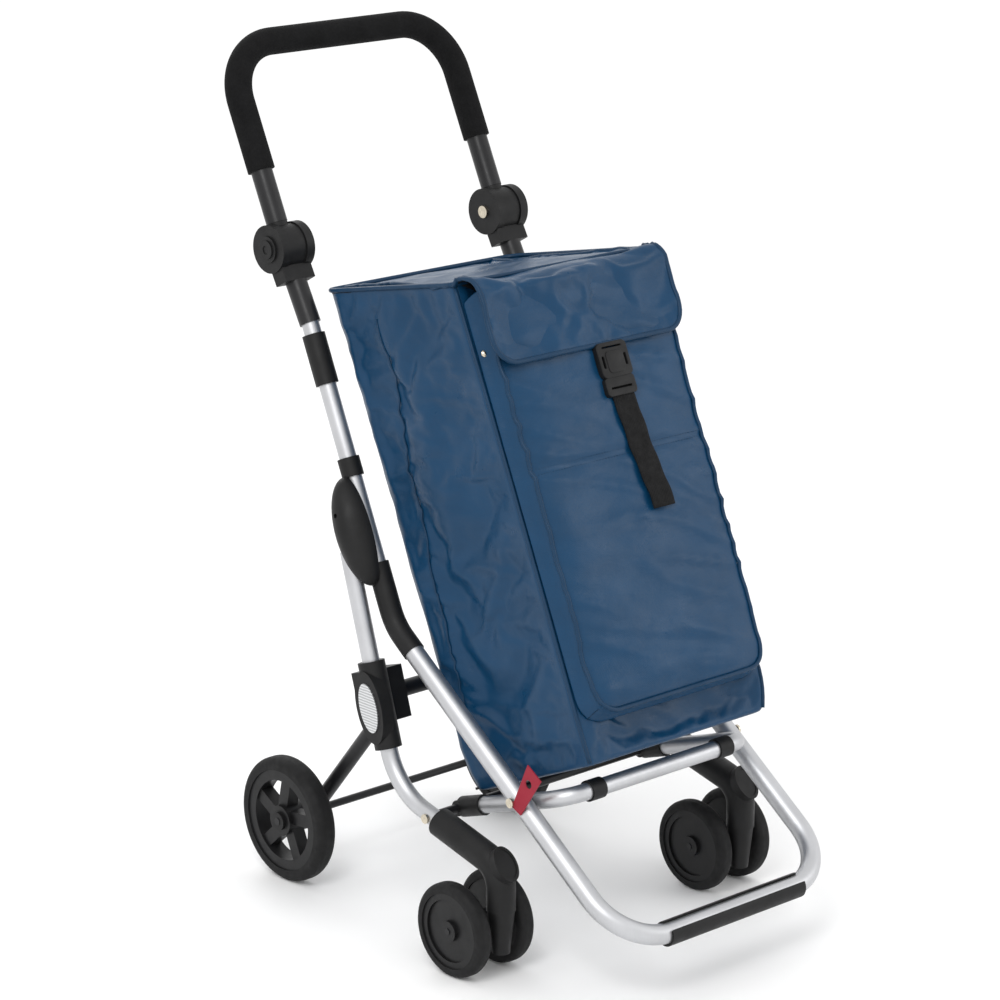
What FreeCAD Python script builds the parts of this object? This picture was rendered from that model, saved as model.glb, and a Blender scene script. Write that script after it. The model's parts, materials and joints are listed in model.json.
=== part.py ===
import FreeCAD, Part
import math
import os

import Sketcher

# Folding shopping trolley: a raked tube frame on two swivel casters and two fixed rear
# wheels, with a fabric bag standing on a shelf.  Millimetres, +Z up, front towards -Y,
# origin on the floor below the middle of the trolley.

doc = FreeCAD.newDocument("Trolley")
sheet = doc.addObject("Spreadsheet::Sheet", "Sizes")

DRIVING_SIZES = [
    ("frame_half_gauge", 179, "centre plane to the handle, frame and loop tubes"),
    ("leg_half_gauge", 207, "centre plane to the leg tubes and casters"),
    ("strut_half_gauge", 150, "centre plane to the rear struts"),
    ("knee_y", 46, "where the frame and loop tubes' lines meet"),
    ("knee_z", 388, "height of that corner"),
    ("frame_lean", 23.7, "frame tubes from vertical, leaning back"),
    ("frame_length", 386, "corner to the top end of the frame tubes"),
    ("loop_lean", 53.7, "loop tubes from vertical, running forward and down"),
    ("loop_length", 506, "corner to the front bar of the loop"),
    ("loop_bend", 74, "bend radius of the loop"),
    ("hinge_y", 250, "handle hinge"),
    ("hinge_z", 830, "handle hinge height"),
    ("handle_lean", 25.1, "handle from vertical, leaning back"),
    ("handle_length", 260, "hinge to the handle's top bar"),
    ("handle_bend", 72, "bend radius of the handle"),
    ("grip_start", 99, "hinge to the end of the foam grip"),
    ("frame_tube_od", 22, "frame and leg tubes"),
    ("loop_tube_od", 25, "front loop"),
    ("tube_wall", 1.5, "wall of every metal tube"),
    ("handle_tube_od", 27, "handle tube"),
    ("grip_od", 34.5, "foam grip"),
    ("hinge_radius", 30, "hinge plates"),
    ("hinge_plate", 12, "thickness of a hinge plate"),
    ("hinge_gap", 26, "room between the hinge plates"),
    ("button_radius", 16.5, "release button"),
    ("button_travel", 4, "how far the button goes in"),
    ("pivot_radius", 4, "pivot bolts"),
    ("running_clearance", 0.05, "radial room in every turning fit"),
    ("side_clearance", 0.3, "room between faces that move past each other"),
    ("elbow_wall", 3, "moulded elbow around the frame tubes"),
    ("leg_corner_y", 12, "where the leg tubes bend forward"),
    ("leg_corner_z", 190, "height of that bend"),
    ("leg_lean", 17, "upper leg tubes from vertical"),
    ("leg_bend", 90, "bend radius of the leg tubes"),
    ("leg_top", 300, "corner to the upper end of the leg tubes"),
    ("foot_dip", 14, "fall of the front part of the leg tubes, degrees"),
    ("foot_length", 104, "corner to the front end of the leg tubes"),
    ("stem_y", -177, "caster swivel axis"),
    ("stem_bottom", 89, "lower face of the caster housing"),
    ("housing_radius", 18, "caster housing"),
    ("caster_radius", 59.2, "caster wheels"),
    ("caster_trail", 45.5, "swivel axis to the caster axle"),
    ("caster_outer", 45.6, "swivel axis to the outer face of a caster wheel"),
    ("caster_width", 22, "width of a caster wheel"),
    ("caster_axle_radius", 4, "caster axle"),
    ("leg_pivot_y", 68, "rear leg pivot"),
    ("leg_pivot_z", 294, "rear leg pivot height"),
    ("wheel_y", 246, "rear axle"),
    ("wheel_radius", 82.5, "rear wheels"),
    ("wheel_width", 28, "rear wheels"),
    ("wheel_outer", 204.5, "centre plane to the outer face of a rear wheel"),
    ("axle_radius", 5, "rear axle"),
    ("strut_od", 19, "rear struts"),
    ("shelf_od", 21, "shelf tube"),
    ("shelf_length", 190, "cross bar to the shelf's front bar"),
    ("shelf_lean", 71.5, "shelf from vertical, rising forward"),
    ("shelf_bend", 34, "bend radius of the shelf"),
    ("cross_bar_radius", 6, "bar between the leg tubes"),
    ("cross_bar_back", 66, "leg tube corner to the cross bar, along Y"),
    ("screw_radius", 3, "shanks of the frame screws"),
    ("bag_half_width", 158, "bag"),
    ("bag_back", 12, "frame line to the back of the bag"),
    ("bag_depth", 243, "bag, back to front"),
    ("bag_foot", -378, "lower face of the bag, along the frame line"),
    ("bag_height", 644, "bag, foot to rim"),
    ("bag_wall", 3, "lined cloth"),
    ("bag_round", 22, "upright corners of the bag"),
    ("top_fall", 12.5, "fall of the bag's rim from back to front, degrees"),
    ("front_half_width", 142, "front compartment"),
    ("front_depth", 33, "front compartment"),
    ("front_foot", 56, "bag foot to the foot of the front compartment"),
    ("front_height", 520, "front compartment"),
    ("flap_half_width", 150, "flap"),
    ("flap_drop", 104, "front of the flap"),
    ("flap_thickness", 4, "lined flap"),
    ("buckle_offset", 20, "centre plane to the middle of the buckle and strap"),
    ("strap_width", 38, "webbing"),
    ("strap_length", 143, "webbing below the buckle"),
]

for row, (alias, value, note) in enumerate(DRIVING_SIZES, start=1):
    sheet.set("A%d" % row, note)
    sheet.set("B%d" % row, str(value))
    sheet.setAlias("B%d" % row, alias)
doc.recompute()


def mm(alias):
    """The value of one driving size."""
    return float(sheet.get(alias))


SIDES = (("left", -1), ("right", 1))
X_AXIS = FreeCAD.Vector(1, 0, 0)
sub_parts = []


def point(y, z, x=0.0):
    return FreeCAD.Vector(x, y, z)


def lean_vector(degrees):
    """Unit vector in the side plane, leaning back from vertical by this angle."""
    angle = math.radians(degrees)
    return point(math.sin(angle), math.cos(angle))


def frame_placement(origin, x_dir, y_dir):
    """Placement whose own X and Y point along the two given unit vectors."""
    z_dir = x_dir.cross(y_dir)
    matrix = FreeCAD.Matrix(
        x_dir.x, y_dir.x, z_dir.x, origin.x,
        x_dir.y, y_dir.y, z_dir.y, origin.y,
        x_dir.z, y_dir.z, z_dir.z, origin.z,
        0, 0, 0, 1)
    return FreeCAD.Placement(matrix)


def keep(obj, label):
    """Make this object one of the sub-parts that are written out."""
    obj.Label = label
    sub_parts.append(obj)
    return obj


def bind(obj, **expressions):
    for prop, expression in expressions.items():
        obj.setExpression(prop, expression)


def cylinder(name, start, direction, radius, height):
    """Cylinder from a start point; radius and height are sheet expressions."""
    obj = doc.addObject("Part::Cylinder", name)
    bind(obj, Radius=radius, Height=height)
    turn = FreeCAD.Rotation(FreeCAD.Vector(0, 0, 1), direction)
    obj.Placement = FreeCAD.Placement(start, turn)
    return obj


def cross_cylinder(name, side, inner, y, z, radius, width):
    """Cylinder along X on one side, from the inner distance outwards."""
    start = point(y, z, side * inner)
    return cylinder(name, start, X_AXIS * side, radius, width)


def fused(name, pieces):
    obj = doc.addObject("Part::MultiFuse", name)
    obj.Shapes = pieces
    return obj


def cut(name, base, tools):
    obj = doc.addObject("Part::Cut", name)
    obj.Base = base
    obj.Tool = tools[0] if len(tools) == 1 else fused(name + "_tools", tools)
    return obj


def together(name, pieces):
    """Several separate solids as one sub-part."""
    obj = doc.addObject("Part::Compound", name)
    obj.Links = pieces
    return obj


def shaped(name, shape):
    obj = doc.addObject("Part::Feature", name)
    obj.Shape = shape
    return obj


def origin_plane(body, role):
    for feature in body.Origin.OriginFeatures:
        if feature.Role == role:
            return feature
    raise ValueError("no plane " + role)


def body_sketch(body, name, role, offset=0.0):
    sketch = body.newObject("Sketcher::SketchObject", name)
    sketch.AttachmentSupport = [(origin_plane(body, role), "")]
    sketch.MapMode = "FlatFace"
    sketch.AttachmentOffset = FreeCAD.Placement(FreeCAD.Vector(0, 0, offset), FreeCAD.Rotation())
    return sketch


def rounded_path(sketch, points, radius_alias):
    """Straight runs joined by tangent arcs of one radius, drawn in a sketch."""
    radius = mm(radius_alias)
    run_start = FreeCAD.Vector(points[0])
    joints = []
    for before, corner, after in zip(points, points[1:], points[2:]):
        inward = (before - corner).normalize()
        outward = (after - corner).normalize()
        half_angle = inward.getAngle(outward) / 2
        tangent = radius / math.tan(half_angle)
        centre = corner + (inward + outward).normalize() * (radius / math.sin(half_angle))
        arc_start = corner + inward * tangent
        arc_end = corner + outward * tangent
        line = sketch.addGeometry(Part.LineSegment(run_start, arc_start), False)
        first = math.atan2(arc_start.y - centre.y, arc_start.x - centre.x)
        last = math.atan2(arc_end.y - centre.y, arc_end.x - centre.x)
        turn = (last - first) % (2 * math.pi)
        leftward = turn < math.pi
        if not leftward:
            first, last = last, first
        if last < first:
            last += 2 * math.pi
        circle = Part.Circle(centre, FreeCAD.Vector(0, 0, 1), radius)
        arc = sketch.addGeometry(Part.ArcOfCircle(circle, first, last), False)
        enter, leave = (1, 2) if leftward else (2, 1)
        joints.append((line, 2, arc, enter))
        joints.append((arc, leave, arc + 1, 1))
        number = sketch.addConstraint(Sketcher.Constraint("Radius", arc, radius))
        sketch.setExpression("Constraints[%d]" % number, "Sizes." + radius_alias)
        run_start = arc_end
    sketch.addGeometry(Part.LineSegment(run_start, points[-1]), False)
    for line, line_end, arc, arc_end_number in joints:
        sketch.addConstraint(Sketcher.Constraint("Tangent", line, line_end, arc, arc_end_number))


def bent_tube(name, placement, points, bend_alias, outer, inner=None):
    """Round tube swept along a path in its own XY plane; the path starts along +Y."""
    body = doc.addObject("PartDesign::Body", name)
    path = body_sketch(body, name + "_path", "XY_Plane")
    rounded_path(path, points, bend_alias)
    section = body_sketch(body, name + "_section", "XZ_Plane")
    centre = FreeCAD.Vector(points[0].x, 0, 0)
    for expression in (outer, inner):
        if expression is None:
            continue
        circle = Part.Circle(centre, FreeCAD.Vector(0, 0, 1), 5.0 if expression == outer else 3.0)
        edge = section.addGeometry(circle, False)
        number = section.addConstraint(Sketcher.Constraint("Radius", edge, circle.Radius))
        section.setExpression("Constraints[%d]" % number, expression)
    doc.recompute()
    pipe = body.newObject("PartDesign::AdditivePipe", name + "_pipe")
    pipe.Profile = section
    edges = ["Edge%d" % (index + 1) for index in range(len(path.Geometry))]
    pipe.Spine = (path, edges)
    body.Placement = placement
    return body


def box_body(name, placement, half_width, back, depth, foot, height, round_alias=None):
    """Upright box on the bag's own axes: X across, -Y forward, Z along the frame line."""
    body = doc.addObject("PartDesign::Body", name)
    sketch = body_sketch(body, name + "_outline", "XY_Plane", foot)
    corners = [
        FreeCAD.Vector(-half_width, -back, 0),
        FreeCAD.Vector(half_width, -back, 0),
        FreeCAD.Vector(half_width, -back - depth, 0),
        FreeCAD.Vector(-half_width, -back - depth, 0)]
    for start, end in zip(corners, corners[1:] + corners[:1]):
        sketch.addGeometry(Part.LineSegment(start, end), False)
    for edge in range(4):
        sketch.addConstraint(Sketcher.Constraint("Coincident", edge, 2, (edge + 1) % 4, 1))
    pad = body.newObject("PartDesign::Pad", name + "_pad")
    pad.Profile = sketch
    pad.Length = height
    if round_alias:
        doc.recompute()
        upright = [
            "Edge%d" % (index + 1) for index, edge in enumerate(pad.Shape.Edges)
            if abs(edge.tangentAt(edge.FirstParameter).z) > 0.99]
        fillet = body.newObject("PartDesign::Fillet", name + "_round")
        fillet.Base = (pad, upright)
        bind(fillet, Radius="Sizes." + round_alias)
    body.Placement = placement
    return body


# ---------------------------------------------------------------- skeleton
gauge = mm("frame_half_gauge")
leg_gauge = mm("leg_half_gauge")
strut_gauge = mm("strut_half_gauge")
tube_radius = mm("frame_tube_od") / 2
knee = point(mm("knee_y"), mm("knee_z"))
up_frame = lean_vector(mm("frame_lean"))
down_loop = lean_vector(mm("loop_lean")) * -1
hinge = point(mm("hinge_y"), mm("hinge_z"))
up_handle = lean_vector(mm("handle_lean"))
frame_top = knee + up_frame * mm("frame_length")
leg_corner = point(mm("leg_corner_y"), mm("leg_corner_z"))
up_leg = lean_vector(mm("leg_lean"))
leg_top = leg_corner + up_leg * mm("leg_top")
foot_angle = math.radians(mm("foot_dip"))
along_foot = point(-math.cos(foot_angle), -math.sin(foot_angle))
foot_end = leg_corner + along_foot * mm("foot_length")
leg_pivot = point(mm("leg_pivot_y"), mm("leg_pivot_z"))
axle = point(mm("wheel_y"), mm("wheel_radius"))
cross_bar = leg_corner + along_foot * (mm("cross_bar_back") / math.cos(foot_angle))
along_shelf = point(-math.sin(math.radians(mm("shelf_lean"))), math.cos(math.radians(mm("shelf_lean"))))
shelf_front = cross_bar + along_shelf * mm("shelf_length")
KNOB_HOLE_HEIGHT = 148.0
knob_screw = knee + up_frame * KNOB_HOLE_HEIGHT
caster_axle = point(mm("stem_y") + mm("caster_trail"), mm("caster_radius"))
tube_hole = "Sizes.frame_tube_od / 2 - Sizes.tube_wall"
tube_skin = "Sizes.frame_tube_od / 2"
loop_radius = mm("loop_tube_od") / 2
loop_skin = "Sizes.loop_tube_od / 2"


# ---------------------------------------------------------------- handle
HANDLE_TUBE_START = 31.0


def handle_loop(name, label, start, outer, inner):
    half = gauge
    reach = mm("handle_length") - start
    path = [
        FreeCAD.Vector(-half, 0, 0), FreeCAD.Vector(-half, reach, 0),
        FreeCAD.Vector(half, reach, 0), FreeCAD.Vector(half, 0, 0)]
    placement = frame_placement(hinge + up_handle * start, X_AXIS, up_handle)
    keep(bent_tube(name, placement, path, "handle_bend", outer, inner), label)


handle_loop("HandleTube", "handle_tube", HANDLE_TUBE_START,
            "Sizes.handle_tube_od / 2", "Sizes.handle_tube_od / 2 - Sizes.tube_wall")
handle_loop("FoamGrip", "foam_grip", mm("grip_start"),
            "Sizes.grip_od / 2", "Sizes.handle_tube_od / 2")


# ---------------------------------------------------------------- handle hinges
plate_inner = gauge + mm("hinge_gap") / 2
to_frame = (frame_top - hinge).normalize()
sleeve_length = (frame_top - hinge).Length
BOLT_HEAD = 3.0
BOLT_HEAD_WIDER = 4.0
BUTTON_FLOOR = 1.2
BUTTON_PROUD = 1.0
BUTTON_ROOM = 0.1
BUTTON_STEP = 5.0
BUTTON_DIMPLE = 11.0
KNUCKLE_SMALLER = 2.0
NECK_SMALLER = 0.6
NECK_PLUG = 24.0
YOKE_START = 19.0
YOKE_END = 46.0
YOKE_DEPTH = 22.0
YOKE_NARROWER = 4.0
PLUG_LENGTH = 18.0
PLUG_SMALLER = 2.0
SOCKET_INSET = 8.0
SOCKET_DEPTH = 28.0
PAST = 1.0


def hinge_parts(name, side):
    y, z = hinge.y, hinge.z
    near = plate_inner - mm("hinge_gap") - mm("hinge_plate")
    gap_start = gauge - mm("hinge_gap") / 2
    knuckle_disc = cross_cylinder(
        "KnuckleDisc_" + name, side, gap_start + mm("side_clearance"), y, z,
        "Sizes.hinge_radius - %f" % KNUCKLE_SMALLER, "Sizes.hinge_gap - 2 * Sizes.side_clearance")
    neck_start = hinge + point(0, 0, side * gauge)
    neck = cylinder("KnuckleNeck_" + name, neck_start, up_handle,
                    "Sizes.handle_tube_od / 2 - %f" % NECK_SMALLER, "%f" % HANDLE_TUBE_START)
    plug = cylinder("KnucklePlug_" + name, neck_start, up_handle,
                    "Sizes.handle_tube_od / 2 - Sizes.tube_wall",
                    "%f" % (HANDLE_TUBE_START + NECK_PLUG))
    bore = cross_cylinder("KnuckleBore_" + name, side, near, y, z,
                          "Sizes.pivot_radius + Sizes.running_clearance",
                          "Sizes.hinge_gap + 3 * Sizes.hinge_plate")
    keep(cut("Knuckle_" + name, fused("KnuckleSolid_" + name, [knuckle_disc, neck, plug]), [bore]),
         "hinge_knuckle_" + name)

    outer_plate = cross_cylinder("ForkOuter_" + name, side, plate_inner, y, z,
                                 "Sizes.hinge_radius", "Sizes.hinge_plate")
    inner_plate = cross_cylinder("ForkInner_" + name, side, near, y, z,
                                 "Sizes.hinge_radius", "Sizes.hinge_plate")
    width = mm("hinge_gap") + 2 * mm("hinge_plate") - YOKE_NARROWER
    across_yoke = point(-to_frame.z, to_frame.y)
    yoke_foot = hinge + to_frame * YOKE_END + point(0, 0, side * gauge)
    yoke = doc.addObject("Part::Box", "ForkYoke_" + name)
    yoke.Length = width
    yoke.Width = YOKE_DEPTH
    yoke.Height = YOKE_END - YOKE_START
    yoke.Placement = frame_placement(
        yoke_foot - X_AXIS * (width / 2) - across_yoke * (YOKE_DEPTH / 2), X_AXIS, across_yoke)
    plug_down = cylinder("ForkPlug_" + name, yoke_foot, to_frame,
                         "Sizes.frame_tube_od / 2 - %f" % PLUG_SMALLER, "%f" % PLUG_LENGTH)
    room = cross_cylinder("ForkRoom_" + name, side, gap_start, y, z,
                          "Sizes.hinge_radius - %f + 2 * Sizes.side_clearance" % KNUCKLE_SMALLER,
                          "Sizes.hinge_gap")
    bolt_hole = cross_cylinder("ForkBolt_" + name, side, near - PAST, y, z,
                               "Sizes.pivot_radius", "Sizes.hinge_plate + %f" % (2 * PAST))
    button_hole = cross_cylinder(
        "ForkButton_" + name, side, plate_inner + BUTTON_FLOOR, y, z,
        "Sizes.button_radius + %f" % BUTTON_ROOM, "Sizes.hinge_plate")
    solid = fused("ForkSolid_" + name, [outer_plate, inner_plate, yoke, plug_down])
    keep(cut("Fork_" + name, solid, [room, bolt_hole, button_hole]), "hinge_fork_" + name)

    cap = cross_cylinder(
        "ButtonCap_" + name, side,
        plate_inner + BUTTON_FLOOR + mm("button_travel") + mm("side_clearance"), y, z,
        "Sizes.button_radius", "Sizes.hinge_plate - Sizes.button_travel + %f" % BUTTON_PROUD)
    step_start = plate_inner + BUTTON_FLOOR + mm("side_clearance") + mm("hinge_plate") + BUTTON_PROUD
    step = cross_cylinder("ButtonStep_" + name, side, step_start, y, z,
                          "Sizes.button_radius - %f" % BUTTON_STEP, "2")
    dimple = cross_cylinder("ButtonDimple_" + name, side, step_start + 1, y, z,
                            "Sizes.button_radius - %f" % BUTTON_DIMPLE, "3")
    keep(cut("Button_" + name, fused("ButtonSolid_" + name, [cap, step]), [dimple]),
         "hinge_button_" + name)

    sleeve_end = frame_top + point(0, 0, side * gauge)
    sleeve = cylinder("Sleeve_" + name + "_outer", yoke_foot, to_frame,
                      "Sizes.handle_tube_od / 2", "%f" % (sleeve_length - YOKE_END))
    plug_bore = cylinder("Sleeve_" + name + "_plug", yoke_foot, to_frame,
                         "Sizes.frame_tube_od / 2 - %f" % PLUG_SMALLER, "%f" % PLUG_LENGTH)
    tube_socket = cylinder("Sleeve_" + name + "_socket", sleeve_end - up_frame * SOCKET_INSET,
                           up_frame, tube_skin, "%f" % SOCKET_DEPTH)
    keep(cut("Sleeve_" + name, sleeve, [plug_bore, tube_socket]), "handle_socket_" + name)
    head = cross_cylinder("PivotHead_" + name, side, near - BOLT_HEAD, y, z,
                          "Sizes.pivot_radius + %f" % BOLT_HEAD_WIDER, "%f" % BOLT_HEAD)
    shank = cross_cylinder("PivotShank_" + name, side, near - PAST, y, z,
                           "Sizes.pivot_radius", "Sizes.hinge_plate + Sizes.hinge_gap + %f" % PAST)
    return fused("HingeBolt_" + name, [head, shank])


pivot_bolts = [hinge_parts(name, side) for name, side in SIDES]


# ---------------------------------------------------------------- frame and loop tubes
ELBOW_UP = 80.0
ELBOW_DOWN = 44.0
TUBE_GAP = 30.0
TUBE_IN_SOCKET = 20.0

for name, side in SIDES:
    start = knee + up_frame * TUBE_GAP + point(0, 0, side * gauge)
    reach = mm("frame_length") - TUBE_GAP + TUBE_IN_SOCKET
    outer = cylinder("FrameOuter_" + name, start, up_frame, tube_skin, "%f" % reach)
    inner = cylinder("FrameInner_" + name, start, up_frame, tube_hole, "%f" % reach)
    keep(cut("FrameTube_" + name, outer, [inner]), "frame_tube_" + name)

    elbow_start = knee + up_frame * ELBOW_UP + point(0, 0, side * gauge)
    y_dir = up_frame * -1
    x_dir = y_dir.cross(X_AXIS)
    corner = FreeCAD.Vector(0, ELBOW_UP, 0)
    foot = corner + FreeCAD.Vector(down_loop.dot(x_dir), down_loop.dot(y_dir), 0) * ELBOW_DOWN
    blank = bent_tube(
        "ElbowBlank_" + name, frame_placement(elbow_start, x_dir, y_dir),
        [FreeCAD.Vector(0, 0, 0), corner, foot], "loop_bend",
        tube_skin + " + Sizes.elbow_wall", tube_skin)
    loop_seat = cylinder("ElbowSeat_" + name, knee + down_loop * TUBE_GAP + point(0, 0, side * gauge),
                         down_loop, loop_skin, "%f" % ELBOW_DOWN)
    keep(cut("Elbow_" + name, blank, [loop_seat]), "frame_elbow_" + name)

loop_reach = mm("loop_length") - TUBE_GAP
loop_path = [
    FreeCAD.Vector(-gauge, 0, 0), FreeCAD.Vector(-gauge, loop_reach, 0),
    FreeCAD.Vector(gauge, loop_reach, 0), FreeCAD.Vector(gauge, 0, 0)]
keep(bent_tube("FrontLoop", frame_placement(knee + down_loop * TUBE_GAP, X_AXIS, down_loop),
               loop_path, "loop_bend", loop_skin, loop_skin + " - Sizes.tube_wall"), "front_loop")

# A moulded channel holds the loop's front bar from below and is open along its top.
BUMPER_HALF_LENGTH = 114.0
BUMPER_SKIN = 3.0
BUMPER_MOUTH_WIDTH = 15.5
BUMPER_MOUTH_ANGLE = 65.0
front_bar = knee + down_loop * mm("loop_length")
bumper_length = "%f" % (2 * BUMPER_HALF_LENGTH)
bumper_start = front_bar - X_AXIS * BUMPER_HALF_LENGTH
bumper_outer = cylinder("BumperOuter", bumper_start, X_AXIS,
                        loop_skin + " + %f" % BUMPER_SKIN, bumper_length)
bumper_inner = cylinder("BumperInner", bumper_start, X_AXIS, loop_skin, bumper_length)
mouth_angle = math.radians(BUMPER_MOUTH_ANGLE)
mouth_out = point(-math.cos(mouth_angle), math.sin(mouth_angle))
mouth_across = mouth_out.cross(X_AXIS)
bumper_mouth = doc.addObject("Part::Box", "BumperMouth")
bumper_mouth.Length = 2 * BUMPER_HALF_LENGTH + 2 * PAST
bumper_mouth.Width = 2 * loop_radius
bumper_mouth.Height = BUMPER_MOUTH_WIDTH
bumper_mouth.Placement = frame_placement(
    bumper_start - X_AXIS * PAST + mouth_across * (BUMPER_MOUTH_WIDTH / 2), X_AXIS, mouth_out)
keep(cut("Bumper", bumper_outer, [bumper_inner, bumper_mouth]), "loop_bumper")


def ring_on_frame(name, side, low, high, wall):
    start = knee + up_frame * low + point(0, 0, side * gauge)
    outer = cylinder(name + "_outer", start, up_frame,
                     tube_skin + " + %f" % wall, "%f" % (high - low))
    inner = cylinder(name + "_inner", start, up_frame, tube_skin, "%f" % (high - low))
    return cut(name, outer, [inner])


COLLAR_LOW = 308.0
COLLAR_HIGH = 372.0
COLLAR_WALL = 3.5
RING_LOW = 190.0
RING_HIGH = 214.0
RING_WALL = 3.0
rings = []
for name, side in SIDES:
    rings.append(ring_on_frame("Collar_" + name, side, COLLAR_LOW, COLLAR_HIGH, COLLAR_WALL))
    rings.append(ring_on_frame("Ring_" + name, side, RING_LOW, RING_HIGH, RING_WALL))
keep(together("Collars", rings), "frame_collars")


# ---------------------------------------------------------------- leg tubes and brackets
leg_x_dir = (up_leg * -1).cross(X_AXIS)
leg_length = mm("leg_top")
leg_path = [
    FreeCAD.Vector(0, 0, 0), FreeCAD.Vector(0, leg_length, 0),
    FreeCAD.Vector(along_foot.dot(leg_x_dir) * mm("foot_length"),
                   leg_length - along_foot.dot(up_leg) * mm("foot_length"), 0)]
KNOB_HEIGHT = 123.0
KNOB_LENGTH = 69.0
KNOB_WIDTH = 26.0
KNOB_FACE = 225.0
CUT_REACH = 300.0
SCREW_HEAD = 3.0
SCREW_BITE = 12.0
knob_middle = knee + up_frame * KNOB_HEIGHT
knob_back = gauge + tube_radius + mm("elbow_wall") + mm("side_clearance")
screws = []
knobs = []


def side_screw(name, side, inner, outer, where):
    """Pan head screw along X: the shank runs from inner to outer, the head stands outside."""
    shank = cross_cylinder(name + "_shank", side, inner, where.y, where.z,
                           "Sizes.screw_radius", "%f" % (outer - inner))
    head = cross_cylinder(name + "_head", side, outer, where.y, where.z,
                          "Sizes.screw_radius + %f" % SCREW_HEAD, "%f" % SCREW_HEAD)
    return fused(name, [shank, head])


for name, side in SIDES:
    placement = frame_placement(leg_top + point(0, 0, side * leg_gauge), leg_x_dir, up_leg * -1)
    tube = bent_tube("Leg_" + name, placement, leg_path, "leg_bend", tube_skin, tube_hole)
    bar_hole = cross_cylinder("LegHole_" + name, side, leg_gauge - 2 * tube_radius,
                              cross_bar.y, cross_bar.z, "Sizes.screw_radius",
                              "2 * Sizes.frame_tube_od")
    keep(cut("LegTube_" + name, tube, [bar_hole]), "leg_tube_" + name)
    screws.append(side_screw("BarScrew_" + name, side, leg_gauge - tube_radius - SCREW_BITE,
                             leg_gauge + tube_radius, cross_bar))

    knob = doc.addObject("Part::Ellipsoid", "KnobBlank_" + name)
    knob.Radius1 = KNOB_FACE - knob_back
    knob.Radius2 = KNOB_LENGTH
    knob.Radius3 = KNOB_WIDTH
    knob.Placement = frame_placement(
        knob_middle + point(0, 0, side * knob_back), up_frame,
        point(-up_frame.z, up_frame.y))
    inside = doc.addObject("Part::Box", "KnobInside_" + name)
    inside.Length = CUT_REACH
    inside.Width = CUT_REACH
    inside.Height = CUT_REACH
    inside.Placement = FreeCAD.Placement(
        point(knob_middle.y - CUT_REACH / 2, knob_middle.z - CUT_REACH / 2,
              knob_back - CUT_REACH if side > 0 else -knob_back), FreeCAD.Rotation())
    leg_seat = cylinder("KnobSeat_" + name, leg_top + point(0, 0, side * leg_gauge), up_leg * -1,
                        tube_skin, "%f" % CUT_REACH)
    knob_hole = cross_cylinder("KnobHole_" + name, side, gauge, knob_screw.y, knob_screw.z,
                               "Sizes.screw_radius", "%f" % KNOB_FACE)
    knobs.append(cut("Knob_" + name, knob, [inside, leg_seat, knob_hole]))
keep(together("Knobs", knobs), "frame_knobs")

BRACKET_LOW = 53.0
BRACKET_HIGH = 162.0
BRACKET_RADIUS = 17.0
BRACKET_FACE = 18.0
BOSS_LONG = 66.0
BOSS_DEEP = 42.0
PLATE_LONG = 46.0
PLATE_SHORT = 24.0
BADGE_LONG = 31.0
BADGE_SHORT = 16.0
BADGE_THICKNESS = 1.5
BADGE_DROP = 2.0
PIN_INSET = 12.0
badges = []
badge_rise = leg_pivot.z - BADGE_DROP - leg_corner.z
badge_centre = leg_corner + up_leg * (badge_rise / up_leg.z)


def oval_plate(name, middle, major, minor, depth):
    """Oval disc from its middle, its two half axes and the vector through its thickness."""
    curve = Part.Ellipse(middle + major, middle + minor, middle)
    face = Part.Face(Part.Wire([curve.toShape()]))
    return shaped(name, face.extrude(depth))


across_leg = point(-up_leg.z, up_leg.y)
for name, side in SIDES:
    out = X_AXIS * side
    sleeve_start = leg_corner + up_leg * BRACKET_LOW + out * leg_gauge
    sleeve = cylinder("BracketSleeve_" + name, sleeve_start, up_leg,
                      "%f" % BRACKET_RADIUS, "%f" % (BRACKET_HIGH - BRACKET_LOW))
    inner_face = strut_gauge + mm("strut_od") / 2 + mm("side_clearance")
    boss = doc.addObject("Part::Box", "BracketBoss_" + name)
    boss.Length = leg_gauge - inner_face
    boss.Width = BOSS_LONG
    boss.Height = BOSS_DEEP
    boss_low = inner_face if side > 0 else -leg_gauge
    boss.Placement = frame_placement(
        leg_pivot - up_leg * (BOSS_LONG / 2) - across_leg * (BOSS_DEEP / 2) + X_AXIS * boss_low,
        X_AXIS, up_leg)
    plate = oval_plate("BracketPlate_" + name, badge_centre + out * leg_gauge,
                       up_leg * PLATE_LONG, across_leg * PLATE_SHORT, out * BRACKET_FACE)
    solid = fused("BracketSolid_" + name, [sleeve, boss, plate])
    leg_bore = cylinder("BracketBore_" + name, leg_corner + up_leg * (BRACKET_LOW / 2) + out * leg_gauge,
                        up_leg, tube_skin, "%f" % BRACKET_HIGH)
    pin_bore = cross_cylinder("BracketPin_" + name, side, inner_face - PAST, leg_pivot.y, leg_pivot.z,
                              "Sizes.pivot_radius",
                              "%f" % (leg_gauge - inner_face + PAST - tube_radius))
    keep(cut("Bracket_" + name, solid, [leg_bore, pin_bore]), "leg_bracket_" + name)
    badges.append(oval_plate(
        "Badge_" + name, badge_centre + out * (leg_gauge + BRACKET_FACE),
        up_leg * BADGE_LONG, across_leg * BADGE_SHORT, out * BADGE_THICKNESS))
    pin_length = leg_gauge - tube_radius - strut_gauge + PIN_INSET - 2 * PAST
    pivot_bolts.append(cross_cylinder(
        "LegPin_" + name, side, strut_gauge - PIN_INSET, leg_pivot.y, leg_pivot.z,
        "Sizes.pivot_radius", "%f" % pin_length))
keep(together("Badges", badges), "bracket_badges")
keep(together("PivotBolts", pivot_bolts), "pivot_bolts")

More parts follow.
